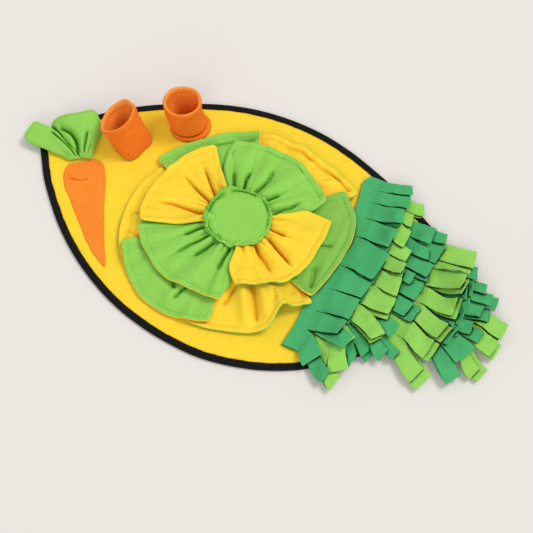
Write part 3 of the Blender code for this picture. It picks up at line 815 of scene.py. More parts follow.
carrot, carrot_area, carrot_seams, dart_line = make_carrot()
second_row = dart_line + 0.7 * np.append(carrot_along, 0)
dart_stitches = sew("carrot_dart_stitches", [dart_line, second_row], brown_thread)
carrot_stitches = sew("carrot_stitches", carrot_seams, orange_thread)
print("carrot of", round(carrot_area, 4), "m2")

# %% [markdown]
# ## Fringe
# A row of fringe is a folded strip of fleece sewn down along its back edge, with two
# layers that are cut into tabs. The tabs are soft, so they lie over the next row and
# part a little at random. Each layer is one comb: the grids of its tabs share the
# points of the strip, so the cloth is whole behind the slits. A tab leaves the strip
# squarely and then turns towards its tip. Scissors leave an edge that wanders a little.
# Four narrow strips of the fifth row are twisted, so they lie half on edge.

# %% Fringe sizes
STRIP_DEEP = 14.0
STRIP_ROWS = 4
STRIP_SEAM = 6.0          # distance of its stitching from its back
TAB_THICK = 1.7
TAB_TIP_Z = 5.0           # a free tip sinks to this height
TAB_PLY = 2.0             # and that of an upper ply lies this much higher
TAB_PITCH = 2.8
TAB_WANDER = 0.35         # how far the scissors stray
TAB_SLIT = 0.8            # how far each side of a slit stands back once it is open
SLIT_ROOT = 0.2           # and how far at its closed end
TAB_TURN = 0.38           # share of a tab's length over which it keeps a heading

# x of the back of each row and the y where its last tab ends, then one tab for each
# line. Columns are the y of the slit above the tab, then x and y of the far and the near
# corner of its tip, for the upper ply and for the lower one.
FRINGE = {
    "fringe_row_6": (335, -32, [
        (34, 423, 19, 422, -12, 419, 15, 418, -15),
        (4, 420, -16, 417, -43, 425, -15, 422, -43),
        (-20, 411, -64, 403, -86, 422, -60, 414, -84)]),
    "fringe_row_5": (300, -67, [
        (90, 347, 90, 355, 63, 343, 86, 350, 61),
        (66, 371, 65, 375, 44, 366, 62, 371, 42),
        (46, 362, 15, 355, 13, 360, 19, 354, 17),
        (39, 386, 50, 389, 28, 395, 56, 397, 29),
        (20, 380, 33, 381, 6, 390, 28, 394, 6),
        (-4, 364, -36, 357, -38, 362, -32, 356, -34),
        (-11, 376, -2, 378, -25, 396, -14, 392, -32),
        (-28, 394, -41, 377, -76, 387, -44, 372, -74),
        (-47, 391, -86, 377, -109, 386, -84, 373, -105)]),
    "fringe_row_4": (262, -98, [
        (108, 336, 113, 343, 80, 334, 108, 340, 77),
        (76, 342, 66, 344, 56, 341, 62, 343, 53),
        (60, 341, 52, 339, 28, 346, 52, 345, 22),
        (28, 342, 13, 344, -13, 349, 14, 351, -14),
        (-2, 345, -27, 338, -54, 353, -30, 345, -57),
        (-32, 336, -58, 332, -88, 345, -59, 340, -88),
        (-65, 338, -99, 329, -128, 352, -101, 341, -134)]),
    "fringe_row_3": (212, -124, [
        (126, 266, 125, 269, 92, 284, 126, 289, 103),
        (98, 270, 87, 276, 66, 291, 101, 287, 66),
        (72, 287, 63, 285, 37, 284, 58, 289, 32),
        (46, 269, 34, 269, 12, 284, 33, 288, 10),
        (24, 288, 22, 284, -8, 283, 16, 281, -12),
        (-2, 285, -12, 280, -36, 298, -14, 293, -41),
        (-32, 281, -52, 277, -78, 277, -50, 273, -74),
        (-58, 281, -96, 276, -117, 297, -90, 292, -107),
        (-82, 258, -102, 251, -122, 264, -106, 258, -124),
        (-104, 243, -116, 240, -144, 239, -118, 234, -142)]),
    "fringe_row_2": (178, -154, [
        (158, 232, 158, 241, 139, 229, 155, 238, 136),
        (138, 226, 131, 231, 108, 225, 127, 232, 102),
        (112, 234, 101, 236, 65, 232, 97, 235, 62),
        (80, 248, 70, 247, 48, 246, 66, 244, 44),
        (54, 251, 42, 250, 20, 250, 36, 254, 12),
        (28, 255, 13, 259, -15, 254, 9, 258, -19),
        (0, 260, -18, 259, -48, 258, -22, 261, -55),
        (-42, 268, -78, 253, -96, 266, -84, 254, -100),
        (-74, 229, -97, 224, -119, 227, -99, 221, -118),
        (-98, 242, -147, 220, -168, 236, -149, 216, -167),
        (-126, 236, -162, 230, -188, 233, -164, 225, -186)]),
    "fringe_row_1": (142, -150, [
        (171, 202, 182, 211, 164, 201, 176, 208, 161),
        (150, 211, 156, 216, 133, 207, 152, 213, 130),
        (127, 212, 127, 219, 101, 208, 123, 216, 98),
        (98, 219, 87, 215, 55, 215, 80, 216, 47),
        (62, 222, 45, 216, -5, 219, 38, 219, -9),
        (6, 217, -9, 212, -38, 215, -14, 214, -42),
        (-38, 212, -41, 211, -80, 209, -46, 213, -84),
        (-80, 210, -82, 206, -111, 228, -101, 224, -127),
        (-114, 199, -143, 180, -172, 221, -165, 215, -185)]),
}

# Narrow strips of the fifth row that stand half on edge against the tips of the fourth:
# their centre lines in x and y
NARROW_WIDE = 7.0
NARROW_PITCH = 1.8
NARROW_TILT, NARROW_TWIST = 25, 30        # degrees at its ends, and what the middle adds
NARROW = [
    [(349, 55), (353, 43), (356, 26)],
    [(343, 44), (348, 28), (353, 13)],
    [(355, 11), (357, 1), (358, -20)],
    [(365, -16), (357, -35), (352, -56)],
]

# How far the back edge of a strip bows backwards at each y
STRIP_BOW = [(-150, 4), (-115, 0), (102, 0), (130, 4), (157, 10), (165, 7), (171, 1)]


# %% One tab
def side_line(root, tip, heading, share):
    """One side of a tab: it leaves the strip squarely and ends in the tip's heading."""
    pull = TAB_TURN * np.hypot(*(tip - root))
    first, second = root + (pull, 0), tip - pull * heading
    return ((1 - share) ** 3 * root + 3 * share * (1 - share) ** 2 * first
            + 3 * share ** 2 * (1 - share) * second + share ** 3 * tip)


def tab_spots(back, high, low, corners, draw):
    """Spots of one tab, row by row from the back of its strip, and the share along it."""
    front = back + STRIP_DEEP
    far, near = np.array(corners[:2], float), np.array(corners[2:], float)
    edge = far - near
    heading = np.array([edge[1], -edge[0]]) / np.hypot(*edge)
    wide = max(high - low, np.hypot(*edge))
    columns = max(4, round(wide / TAB_PITCH)) + 1
    across = np.linspace(0.5, -0.5, columns)
    root = np.array([front, (high + low) / 2])
    length = float(np.hypot(*((far + near) / 2 - root)))
    share = np.linspace(0, 1, max(12, round(length / TAB_PITCH)) + 1)[1:, None]
    far_side = side_line(np.array([front, high - SLIT_ROOT]), far, heading, share)
    near_side = side_line(np.array([front, low + SLIT_ROOT]), near, heading, share)
    out = share[:, 0] * length
    seed = int(draw.integers(1000))
    along = (far_side - near_side) / np.linalg.norm(far_side - near_side, axis=1)[:, None]
    open_slit = smooth_step(out / 6)[:, None] * along
    far_side += (TAB_WANDER * ripple(out, 0 * out, 8, seed) - TAB_SLIT)[:, None] * open_slit
    near_side += (TAB_WANDER * ripple(out, 0 * out, 8, seed + 1) + TAB_SLIT)[:, None] * open_slit
    t = (across + 0.5)[None, :, None]
    tabs = near_side[:, None] * (1 - t) + far_side[:, None] * t
    uneven = 0.45 * ripple(across * wide, 0 * across, 12, seed + 2)
    tabs += (uneven[None] * smooth_step(share * 4 - 3))[..., None] * heading
    strip_y = (high + low) / 2 + across * (high - low)
    starts = back - np.interp(strip_y, *np.array(STRIP_BOW, float).T)
    strip_x = starts + (front - starts) * np.linspace(0, 1, STRIP_ROWS)[:, None]
    strip = np.dstack([strip_x, strip_y + 0 * strip_x])
    whole = np.r_[np.zeros(STRIP_ROWS), share[:, 0]]
    return np.vstack([strip, tabs]), whole, across


# %% One layer of a row
def lay_comb(back, cuts, tips, ply, seed):
    """A layer of tabs, lower 0 or upper 1, on one strip: its shell, area and strip top."""
    draw = np.random.default_rng(seed)
    strip = [(back + x, y) for x in (0, STRIP_DEEP / 2, STRIP_DEEP)
             for y in np.linspace(cuts[0], cuts[-1], 20)]
    level = pile.under(np.array(strip), 2).max() + GAP + TAB_THICK / 2
    below = pile.top.copy()
    points, quads, first = [], [], 0
    borders = {}
    for k in reversed(range(len(tips))):
        spots, share, across = tab_spots(back, cuts[k], cuts[k + 1], tips[k], draw)
        tip_level = TAB_TIP_Z + TAB_THICK / 2 + TAB_PLY * ply
        line = level + (tip_level - level) * share[:, None] ** 2
        alone = pile.under(spots, 1.6, below)
        parted = smooth_step((share[:, None] - draw.uniform(0.05, 0.5)) / 0.25)
        rest = alone + (pile.under(spots, 1.6) - alone) * parted
        floor = np.maximum(rest + GAP + TAB_THICK / 2, line)
        floor[:STRIP_ROWS] = level
        z = drape(floor, TAB_PITCH, 70, held=STRIP_ROWS)
        curl = draw.uniform(-0.8, 0.9) * (2 * across) ** 2 + draw.uniform(0.8, 3.0)
        z = np.maximum(z + curl * smooth_step(share[:, None] * 1.8 - 0.2), floor)
        surface = np.dstack([spots, z])
        pile.lay(surface + (0, 0, TAB_THICK / 2))
        ids = np.arange(first, first + z.size).reshape(z.shape)
        first += z.size
        borders[k] = ids[:STRIP_ROWS, 0].copy()
        if k + 1 in borders:
            ids[:STRIP_ROWS, -1] = borders[k + 1]
        points.append(surface.reshape(-1, 3))
        quads.append(ids.ravel()[grid_quads(*z.shape)])
    points, quads = np.vstack(points), np.vstack(quads)
    quads = face_up(points, quads)
    return shell(points, quads, TAB_THICK, CUT_RIM), cloth_area(points, quads), level + TAB_THICK / 2


# %% One narrow strip
def lay_narrow(line):
    """A narrow strip that is twisted half on edge: its shell and its area."""
    share = np.linspace(0, 1, 16)
    centre = np.stack([curve([spot[k] for spot in line], share) for k in (0, 1)], 1)
    heading = np.gradient(centre, axis=0)
    heading /= np.linalg.norm(heading, axis=1)[:, None]
    aside = np.stack([-heading[:, 1], heading[:, 0]], 1)
    across = np.linspace(-0.5, 0.5, 6)
    tilt = np.radians(NARROW_TILT + NARROW_TWIST * np.sin(math.pi * share))[:, None]
    spots = centre[:, None] + (across * NARROW_WIDE * np.cos(tilt))[..., None] * aside[:, None]
    floor = pile.under(spots, 1.6) + GAP + TAB_THICK / 2
    z = drape(floor, NARROW_PITCH, 30) + (across + 0.5) * NARROW_WIDE * np.sin(tilt)
    surface = np.dstack([spots, z])
    pile.lay(surface + (0, 0, TAB_THICK / 2))
    points = surface.reshape(-1, 3)
    quads = face_up(points, grid_quads(*z.shape))
    return shell(points, quads, TAB_THICK, CUT_RIM), cloth_area(points, quads)


# %% All rows, from the tip of the mat inwards
def lay_row(name, seed):
    """One row of fringe, its lower and its upper layer, and its stitching."""
    back, last_cut, tabs = FRINGE[name]
    cuts = [row[0] for row in tabs] + [last_cut]
    low = lay_comb(back, cuts, [row[5:9] for row in tabs], 0, seed)
    high = lay_comb(back, cuts, [row[1:5] for row in tabs], 1, seed + 50)
    dark = int(name[-1]) % 2
    narrow = [lay_narrow(line) for line in NARROW] if name == "fringe_row_5" else []
    shells = [low[0], high[0]] + [cloth for cloth, _ in narrow]
    piece = make_piece(name + "_cloth", shells, [tree_green if dark else fringe_green])
    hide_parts(name)
    seam = [[(back + STRIP_SEAM, y, high[2] + 0.1)
             for y in np.linspace(cuts[0] - 2, last_cut + 2, 40)]]
    stitches = sew(name + "_stitches", seam, green_thread)
    area = low[1] + high[1] + sum(part for _, part in narrow)
    return piece, area


for number, name in enumerate(FRINGE):
    piece, area = lay_row(name, 100 + number)
    print(name, "of", round(area, 4), "m2,", len(piece.data.polygons), "faces")

# %% [markdown]
# ## Petals
# The flower has ten petals. Each is two plies of fleece, one yellow and one green, sewn
# face to face and turned out, topstitched inside the edge and gathered at the disc.
# A petal is a polar grid about the middle of the flower, which gets finer towards the
# gathers by itself. Its height is the sum of what sewing and gathering do to cloth:
# round tubes at the disc, a few long creases with puffed lobes between them, broad
# folds, and a groove along the topstitching.

# %% Petal sizes
FLOWER = np.array([-8.0, 4.0])
PETAL_THICK = 2.4
PETAL_INNER = 38.0        # petals start here, under the disc
PETAL_CORNER = 4.5
PETAL_PITCH = 2.0
PETAL_MIDDLE = 150        # at this radius the columns of a petal have that pitch
EDGE_EXTRA = 0.9          # how much thicker the turned seam makes the edge
SEAM_INSIDE = 7.5
SEAM_DEEP = 1.15
DISC_RADIUS = 51.0

# Directions in degrees of the start edge and of the end edge, at even stations from the
# disc outwards, then the reach and the rise of the outer edge at even stations
PETALS = {
    "petal_low_b": ((106, 105), (40, 41), (166, 171, 169, 173, 171, 177, 184, 189),
                    (4, 8, 4, 8, 4, 8, 5, 9)),
    "petal_low_d": ((-24, -26), (-90, -90), (177, 169, 165, 183, 185, 182, 180, 180, 180),
                    (5, 15, 23, 14, 5, 3, 3, 3, 2)),
    "petal_low_f": ((166, 164), (223, 223), (158, 165, 172, 178, 184), (4, 6, 4, 6, 4)),
    "petal_low_a": ((172, 162), (101, 104), (174, 167, 164, 167, 168), (5, 7, 8, 7, 6)),
    "petal_low_c": ((47, 43), (-25, -25), (171, 177, 170, 164, 167), (3, 4, 4, 5, 4)),
    "petal_low_e": ((216, 216), (280, 282), (178, 183, 188, 182, 171), (4, 3, 2, 3, 4)),
    "petal_top_b": ((136, 133, 127, 119), (28, 31, 33, 39), (144, 139, 139, 137, 136),
                    (7, 6, 4, 5, 5)),
    "petal_top_d": ((207, 208), (291, 290.5, 289.5, 284.5), (149, 147, 144, 137, 140),
                    (4, 5, 4, 6, 6)),
    "petal_top_a": ((134, 130.5), (212, 207.5), (142, 144, 142, 147, 146.5), (4, 5, 4, 4, 5)),
    "petal_top_c": ((28, 32, 33, 25), (-65, -69, -72, -67), (140, 131, 129, 121, 113),
                    (6, 8, 7, 6, 6)),
}

# Creases: petal, depth, then direction and radius of each point, from the outside in or
# across the petal. A crease fades in over the first third of its way.
CREASES = [
    ("petal_top_a", 6, [(191, 136), (189, 105), (191, 75), (195, 54)]),
    ("petal_top_a", 5, [(160, 124), (162, 103), (167, 65), (169, 54)]),
    ("petal_top_a", 5, [(144, 116), (146, 93), (151, 65), (153, 54)]),
    ("petal_top_b", 5, [(120, 92), (122, 59)]),
    ("petal_top_b", 5, [(103, 94), (107, 76), (107, 57)]),
    ("petal_top_b", 5, [(85, 112), (83, 84), (86, 56)]),
    ("petal_top_b", 4, [(61, 80), (64, 56)]),
    ("petal_top_b", 7, [(45, 104), (42, 82), (41, 70), (36, 52)]),
    ("petal_top_c", 5, [(3, 80), (6, 51)]),
    ("petal_top_c", 6, [(-20, 118), (-17, 95), (-14, 73), (-9, 56)]),
    ("petal_top_c", 6, [(-36, 109), (-35, 82), (-36, 63), (-33, 50)]),
    ("petal_top_d", 5, [(223, 88), (220, 56)]),
    ("petal_top_d", 6, [(238, 112), (237, 84), (239, 56)]),
    ("petal_top_d", 6, [(249, 95), (252, 71), (254, 55)]),
    ("petal_top_d", 8, [(277, 96), (278, 74), (282, 54)]),
    ("petal_low_e", 5, [(257, 150), (250, 132)]),
    ("petal_low_e", 6, [(259, 165), (261, 130)]),
    ("petal_low_d", 13, [(-55, 176), (-54, 150), (-53, 125), (-52, 105)]),
    ("petal_low_d", 5, [(-74, 146), (-65, 108)]),
    ("petal_low_d", 4, [(-31, 150), (-28, 125)]),
    ("petal_low_f", 2.5, [(194, 171), (199, 146)]),
    ("petal_low_f", 3, [(208, 173), (215, 146)]),
    ("petal_low_a", 4, [(163, 159), (150, 154), (132, 150), (116, 153), (105, 158)]),
    ("petal_low_b", 3, [(102, 158), (90, 159), (78, 164), (67, 161), (55, 173), (45, 178)]),
    ("petal_low_f", 2, [(168, 148), (182, 157), (198, 164), (214, 171)]),
    ("petal_low_d", 4, [(-42, 152), (-40, 128)]),
    ("petal_low_c", 4, [(9, 152), (7, 125)]),
    ("petal_low_c", 7, [(-22, 158), (-9, 138)]),
]

# Broad folds that run outwards: petal, direction at the inner and the outer end, inner
# and outer radius, width and height
FOLDS = [
    ("petal_low_d", -66, -60, 60, 178, 26, 5), ("petal_low_d", -84, -80, 70, 170, 22, 4),
    ("petal_low_e", 262, 258, 80, 176, 24, 6), ("petal_low_e", 236, 232, 90, 184, 26, 5),
    ("petal_low_f", 176, 172, 90, 160, 24, 4), ("petal_low_f", 206, 204, 90, 180, 26, 5),
    ("petal_low_c", 2, 6, 80, 176, 26, 6), ("petal_low_c", 30, 34, 80, 176, 26, 4),
    ("petal_low_b", 92, 88, 140, 180, 15, 4), ("petal_low_b", 72, 68, 140, 182, 15, 5),
    ("petal_low_b", 54, 50, 145, 184, 13, 6), ("petal_low_b", 44, 43, 145, 186, 9, 6),
    ("petal_low_f", 190, 188, 120, 160, 13, 3), ("petal_low_f", 201, 200, 125, 168, 12, 3),
    ("petal_low_f", 213, 211, 130, 175, 12, 3),
    ("petal_low_d", -41, -39, 120, 184, 15, 9), ("petal_low_d", -61, -60, 96, 180, 16, 7),
    ("petal_low_d", -48, -49, 96, 180, 16, 7),
    ("petal_top_a", 146, 143, 48, 120, 26, 8), ("petal_top_a", 170, 166, 48, 130, 26, 7),
    ("petal_top_a", 190, 188, 48, 130, 28, 8), ("petal_top_b", 116, 112, 48, 126, 22, 8),
    ("petal_top_b", 92, 90, 48, 130, 28, 7), ("petal_top_b", 66, 68, 48, 130, 28, 9),
    ("petal_top_b", 44, 46, 48, 124, 22, 7), ("petal_top_c", 16, 10, 48, 124, 26, 7),
    ("petal_top_c", -14, -16, 48, 126, 28, 8), ("petal_top_c", -46, -42, 48, 116, 24, 7),
    ("petal_top_d", 222, 220, 48, 132, 26, 8), ("petal_top_d", 246, 244, 48, 132, 26, 9),
    ("petal_top_d", 270, 264, 48, 126, 26, 8), ("petal_top_d", 286, 280, 48, 128, 20, 7),
]


# %% The grid of a petal
def from_flower(degrees, radius):
    """The spot in this direction and at this distance from the middle of the flower."""
    turn = math.radians(degrees)
    return FLOWER + radius * np.array([math.cos(turn), math.sin(turn)])


def petal_grid(name, seed):
    """The grid of a petal as seen from above, with the measures that its relief needs."""
    starts, ends, reaches, _ = PETALS[name]
    on_top = "top" in name
    span = abs(math.radians(ends[-1] - starts[-1]))
    share = np.linspace(0, 1, round(span * PETAL_MIDDLE / PETAL_PITCH) + 1)
    along = share * span * PETAL_MIDDLE
    reach = curve(reaches, share) + 0.9 * ripple(along, 0 * share, 38, seed)
    side = np.minimum(share, 1 - share) * span * reach
    short = np.clip(PETAL_CORNER - side, 0, None)
    reach = reach - (PETAL_CORNER - np.sqrt(PETAL_CORNER ** 2 - short ** 2))
    rings = steps_between(PETAL_INNER, float(np.mean(reaches)), PETAL_PITCH,
                          fine=1.3, fine_low=26.0 if on_top else 0.0, fine_high=9.0)
    out = ((rings - rings[0]) / (rings[-1] - rings[0]))[:, None]
    sides = curve(starts, out), curve(ends, out)
    degrees = sides[0] + (sides[1] - sides[0]) * share
    radius = PETAL_INNER + (reach - PETAL_INNER) * out
    turn = np.radians(degrees)
    spots = FLOWER + radius[..., None] * np.stack([np.cos(turn), np.sin(turn)], 2)
    edge = np.minimum(np.minimum(share, 1 - share) * span * radius, reach - radius)
    return SimpleNamespace(on_top=on_top, span=span, share=share, rings=rings, out=out, edge=edge,
                           sides=sides, degrees=degrees, radius=radius, spots=spots)


# %% Relief of a petal
GATHER_EVERY = 11.0       # degrees between two tubes at the disc
GATHER_HIGH = 5.5
LOBE_HIGH = 9.0
LOBE_LOW = 0.6            # share of that height in a lower petal
LOBE_NEAR, LOBE_FADE = 62, 52     # in an upper one it is full to this radius, then fades
FOLD_TOP = 0.75           # share of the height of its folds that an upper petal keeps
CREASE_SHARP, CREASE_SOFT = 2.7, 7.5      # widths of the line and of the valley round it


def fold_lift(name, spots):
    """How far the broad folds raise the petal."""
    lift = np.zeros(spots.shape[:-1])
    for petal, turn_in, turn_out, near, far, wide, high in FOLDS:
        if petal == name:
            line = [from_flower(turn_in, near), from_flower(turn_out, far)]
            nearness, share = crease(spots, line, wide / 2)
            lift += high * nearness * np.sqrt(np.sin(math.pi * np.clip(share * 0.9 + 0.1, 0, 1)))
    return lift


def crease_depth(name, spots):
    """How deep the creases cut: a sharp line in the middle of a soft valley."""
    depth = np.zeros(spots.shape[:-1])
    for petal, deep, line in CREASES:
        if petal == name:
            route = [from_flower(*point) for point in line]
            sharp, share = crease(spots, route, CREASE_SHARP)
            soft, _ = crease(spots, route, CREASE_SOFT)
            depth += deep * smooth_step(share * 3) * (1.2 * sharp + 0.6 * soft)
    return depth


def lobes(name, sheet):
    """Rounded cloth between one crease and the next, 0 on the creases and 1 between."""
    flat = 0 * sheet.radius
    bounds = [np.minimum(*sheet.sides) + flat, np.maximum(*sheet.sides) + flat]
    for petal, _, line in CREASES:
        if petal == name and sheet.on_top:
            turns, radii = zip(*line[::-1])
            bounds.append(np.interp(sheet.radius, radii, turns))
    bounds = np.sort(np.array(bounds), 0)
    share = flat.copy()
    for low, high in zip(bounds, bounds[1:]):
        here = (sheet.degrees >= low) & (sheet.degrees <= high)
        share = np.where(here, (sheet.degrees - low) / np.maximum(high - low, 1e-6), share)
    return np.sqrt(np.sin(math.pi * np.clip(share, 0, 1)))


def gathers(sheet, seed):
    """Round tubes of gathered cloth at the disc, each of its own length."""
    draw = np.random.default_rng(seed)
    turn, radius = sheet.degrees, sheet.radius
    phase = turn / GATHER_EVERY + 0.35 * ripple(turn, 0 * turn, 40, seed)
    number = np.floor(phase).astype(int)
    tube = np.sqrt(1.0001 - (2 * (phase - number) - 1) ** 2)
    number -= number.min()
    length = draw.uniform(8, 30, number.max() + 1)[number]
    fade = smooth_step((radius - 41) / 8) * np.exp(-np.maximum(radius - 52, 0) / length)
    return GATHER_HIGH * (tube - 0.35) * fade


def petal_relief(name, sheet, seed):
    """How far the cloth of a petal stands above where a plain sheet would lie."""
    edge, radius, spots = sheet.edge, sheet.radius, sheet.spots
    if sheet.on_top:
        puffed = np.exp(-np.maximum(radius - LOBE_NEAR, 0) / LOBE_FADE)
        relief = FOLD_TOP * fold_lift(name, spots) + gathers(sheet, seed)
    else:
        puffed = LOBE_LOW * smooth_step((edge - 9) / 30)
        relief = fold_lift(name, spots)
    relief += LOBE_HIGH * lobes(name, sheet) * puffed - crease_depth(name, spots)
    relief += curve(PETALS[name][3], sheet.share) * sheet.out ** 3
    relief += 1.3 * smooth_step((edge - 6) / 22) + 0.5 * ripple(spots[..., 0], spots[..., 1], 48, seed)
    return relief - SEAM_DEEP * hump(edge, SEAM_INSIDE, 1.5) * smooth_step((radius - 70) / 15)


# %% One petal
def petal_seam(top, sheet):
    """The route of the topstitching: out along one side, round the edge and back."""
    count, far = len(sheet.rings), len(sheet.share) - 1
    ends = (80 if sheet.on_top else 100, sheet.rings[-1] - SEAM_INSIDE)
    rows = np.linspace(*np.interp(ends, sheet.rings, range(count)), 30)
    inset = SEAM_INSIDE / (sheet.span * np.interp(rows, range(count), sheet.rings)) * far
    across = np.linspace(inset[-1], far - inset[-1], 80)
    return np.vstack([read_grid(top, rows, inset), read_grid(top, np.full(80, rows[-1]), across),
                      read_grid(top, rows[::-1], far - inset[::-1])])


def lay_petal(name, seed):
    """A two-ply petal with its topstitching, laid on the pile: the piece and its area."""
    sheet = petal_grid(name, seed)
    floor = pile.under(sheet.spots, 1.5) + GAP + PETAL_THICK / 2
    z = np.maximum(drape(floor, PETAL_PITCH) + petal_relief(name, sheet, seed), floor)
    middle = np.dstack([sheet.spots, z])
    green = name[-1] in ("bd" if sheet.on_top else "ace")
    plies = [leaf_green, petal_yellow] if green else [petal_yellow, leaf_green]
    # This lower petal takes the darker copy, painted shade from the petals above it
    if name == "petal_low_c":
        plies[0] = painted_shade_leaf_green
    thick = PETAL_THICK + EDGE_EXTRA * (1 - smooth_step((sheet.edge - 5) / 4)) * (sheet.radius > 60)
    piece, area = grid_piece(name + "_cloth", middle, thick, plies, SEAMED_RIM)
    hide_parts(name)
    top = middle + np.dstack([0 * z, 0 * z, thick / 2 + 0.05])
    pile.lay(top)
    thread = green_thread if green else yellow_thread
    stitches = sew(name + "_stitches", [petal_seam(top, sheet)], thread)
    return piece, area


for number, name in enumerate(PETALS):
    piece, area = lay_petal(name, 200 + 10 * number)
    print(name, "of", round(area, 4), "m2,", len(piece.data.polygons), "faces")

# %% [markdown]
# ## Disc
# A round of green cloth covers the gathered inner ends of the petals. It is drawn in
# with a running stitch, which leaves a puffed middle, a groove and a small ruffle like
# a rope round the edge. A square grid pressed into a circle keeps its rows along the
# edge, where the ruffle needs them.

# %% Disc
DISC_CELLS = 120
DISC_PITCH = 0.9          # distance of its points
DISC_THICK = 2.2
SEWN_AT = 46.0            # radius of the running stitch
ROPE_AT, ROPE_WIDE = 48.6, 1.35
ROPE_TURN = 6.2           # length of one twist of the ruffle
ROPE_TUCKED = -42         # direction in which the ruffle is tucked under


def disc_relief(radius, turn, wander, spots):
    """How far the sewn and gathered cloth stands out, and the groove of the stitch."""
    around, off = turn * SEWN_AT, radius - SEWN_AT
    away = np.maximum(np.cos(turn - math.radians(ROPE_TUCKED)), 0)
    ruffled = smooth_step(1.3 - 1.9 * away ** 2)
    groove = hump(radius, SEWN_AT, 1.0)
    uneven = 2.6 * ripple(np.cos(turn) * SEWN_AT, np.sin(turn) * SEWN_AT, 26, 34)
    twist = np.sin(around * TURN / ROPE_TURN + 1.6 * off + uneven)
    rope = hump(radius, ROPE_AT + 0.8 * twist, ROPE_WIDE) * (2.2 + 1.3 * twist)
    gather = 0.3 * np.sin(around * TURN / 8.0 + 2 * wander) * hump(radius, 42, 3.5)
    relief = 1.6 * smooth_step((-1 - off) / 7) + (rope - 3.2 * groove) * ruffled
    relief += gather + 0.3 * ripple(spots[..., 0], spots[..., 1], 34, 32)
    return relief - 2.5 * smooth_step((off + 1) / 5) * (1 - ruffled), groove


def make_disc():
    """The puffed disc and its ruffle."""
    spots, share = round_grid(DISC_CELLS, lambda turn: np.full_like(turn, DISC_RADIUS))
    turn = np.arctan2(spots[..., 1], spots[..., 0])
    radius = share * DISC_RADIUS
    edge_x, edge_y = np.cos(turn) * SEWN_AT, np.sin(turn) * SEWN_AT
    wander = 1.5 * ripple(edge_x, edge_y, 55, 31) + 0.8 * ripple(edge_x, edge_y, 15, 33)
    wider = 1 + wander * smooth_step((radius - 34) / 12) / DISC_RADIUS
    spots = spots * wider[..., None] + FLOWER
    floor = pile.under(spots, 1.5) + GAP + DISC_THICK / 2
    z = even_out(drape(floor, DISC_PITCH, 260), 10)
    level = z[(radius > SEWN_AT - 3) & (radius < SEWN_AT)].mean() + 1.0
    z = z + (level - z) * smooth_step((SEWN_AT + 1 - radius) / 6)
    relief, groove = disc_relief(radius, turn, wander, spots)
    middle = np.dstack([spots, np.maximum(z + relief, floor - groove)])
    piece, area = grid_piece("flower_disc_cloth", middle, DISC_THICK, [leaf_green])
    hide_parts("flower_disc")
    pile.lay(middle + (0, 0, DISC_THICK / 2))
    return piece, area


disc, disc_area = make_disc()
print("disc of", round(disc_area, 4), "m2")

# %% [markdown]
# ## Carrot top
# The leaves are one folded piece of green cloth, gathered into a narrow neck over the
# crown of the carrot. It opens into a fan that stands up off the mat. The fan is a
# grid of straight threads from a short neck line to a free end whose place and height
# come from a table. Four valleys with raised lips run down into the neck.

# %% Carrot top
TUFT_NECK_LEFT = np.array([-297.5, -2.0])
TUFT_NECK_RIGHT = np.array([-268.5, 15.0])
TUFT_AHEAD = np.array([-0.4305, 0.9026])      # the line of the neck bows this way
TUFT_THICK = 2.4
TUFT_ROWS, TUFT_COLUMNS = 56, 150
PLEAT_HIGH, PLEAT_FADE = 3.4, 15  # small pleats at the neck, and how soon they end
LIP_WIDE = 2.6            # how much wider than a valley its lips are

# Free end of the fan from left to right: x, y and z
TUFT_FAN = [
    (-338, 6.5, 8), (-352, 4.5, 9), (-363, -1, 11), (-371, -0.5, 13), (-379, 2.5, 16),
    (-380.5, 10, 18), (-379, 19, 21), (-376, 29, 24), (-370, 30.5, 24), (-360, 30.5, 23),
    (-351, 32.5, 21), (-352, 38, 10), (-352, 43, 19), (-348.5, 50, 25), (-339, 58.5, 29),
    (-329, 64.5, 31), (-319, 71, 32), (-306, 81.5, 33), (-296, 84, 31), (-287, 77, 26),
    (-280, 69, 20), (-276.5, 61, 15), (-276, 54, 11),
]
# Depth and width of each valley, then x and y of its points from the outside in
TUFT_VALLEYS = [
    (15, 4.2, [(-341, 39), (-328, 38.5), (-314, 36), (-303, 30), (-295, 22), (-289, 11)]),
    (11, 2.4, [(-347, 26), (-335, 23), (-325, 20.5), (-312, 16.5), (-301, 12), (-293, 7)]),
    (8, 2.8, [(-293, 51), (-289, 41), (-285, 29), (-281, 16)]),
    (4, 2.2, [(-277, 36), (-277, 24), (-276, 16)]),
]


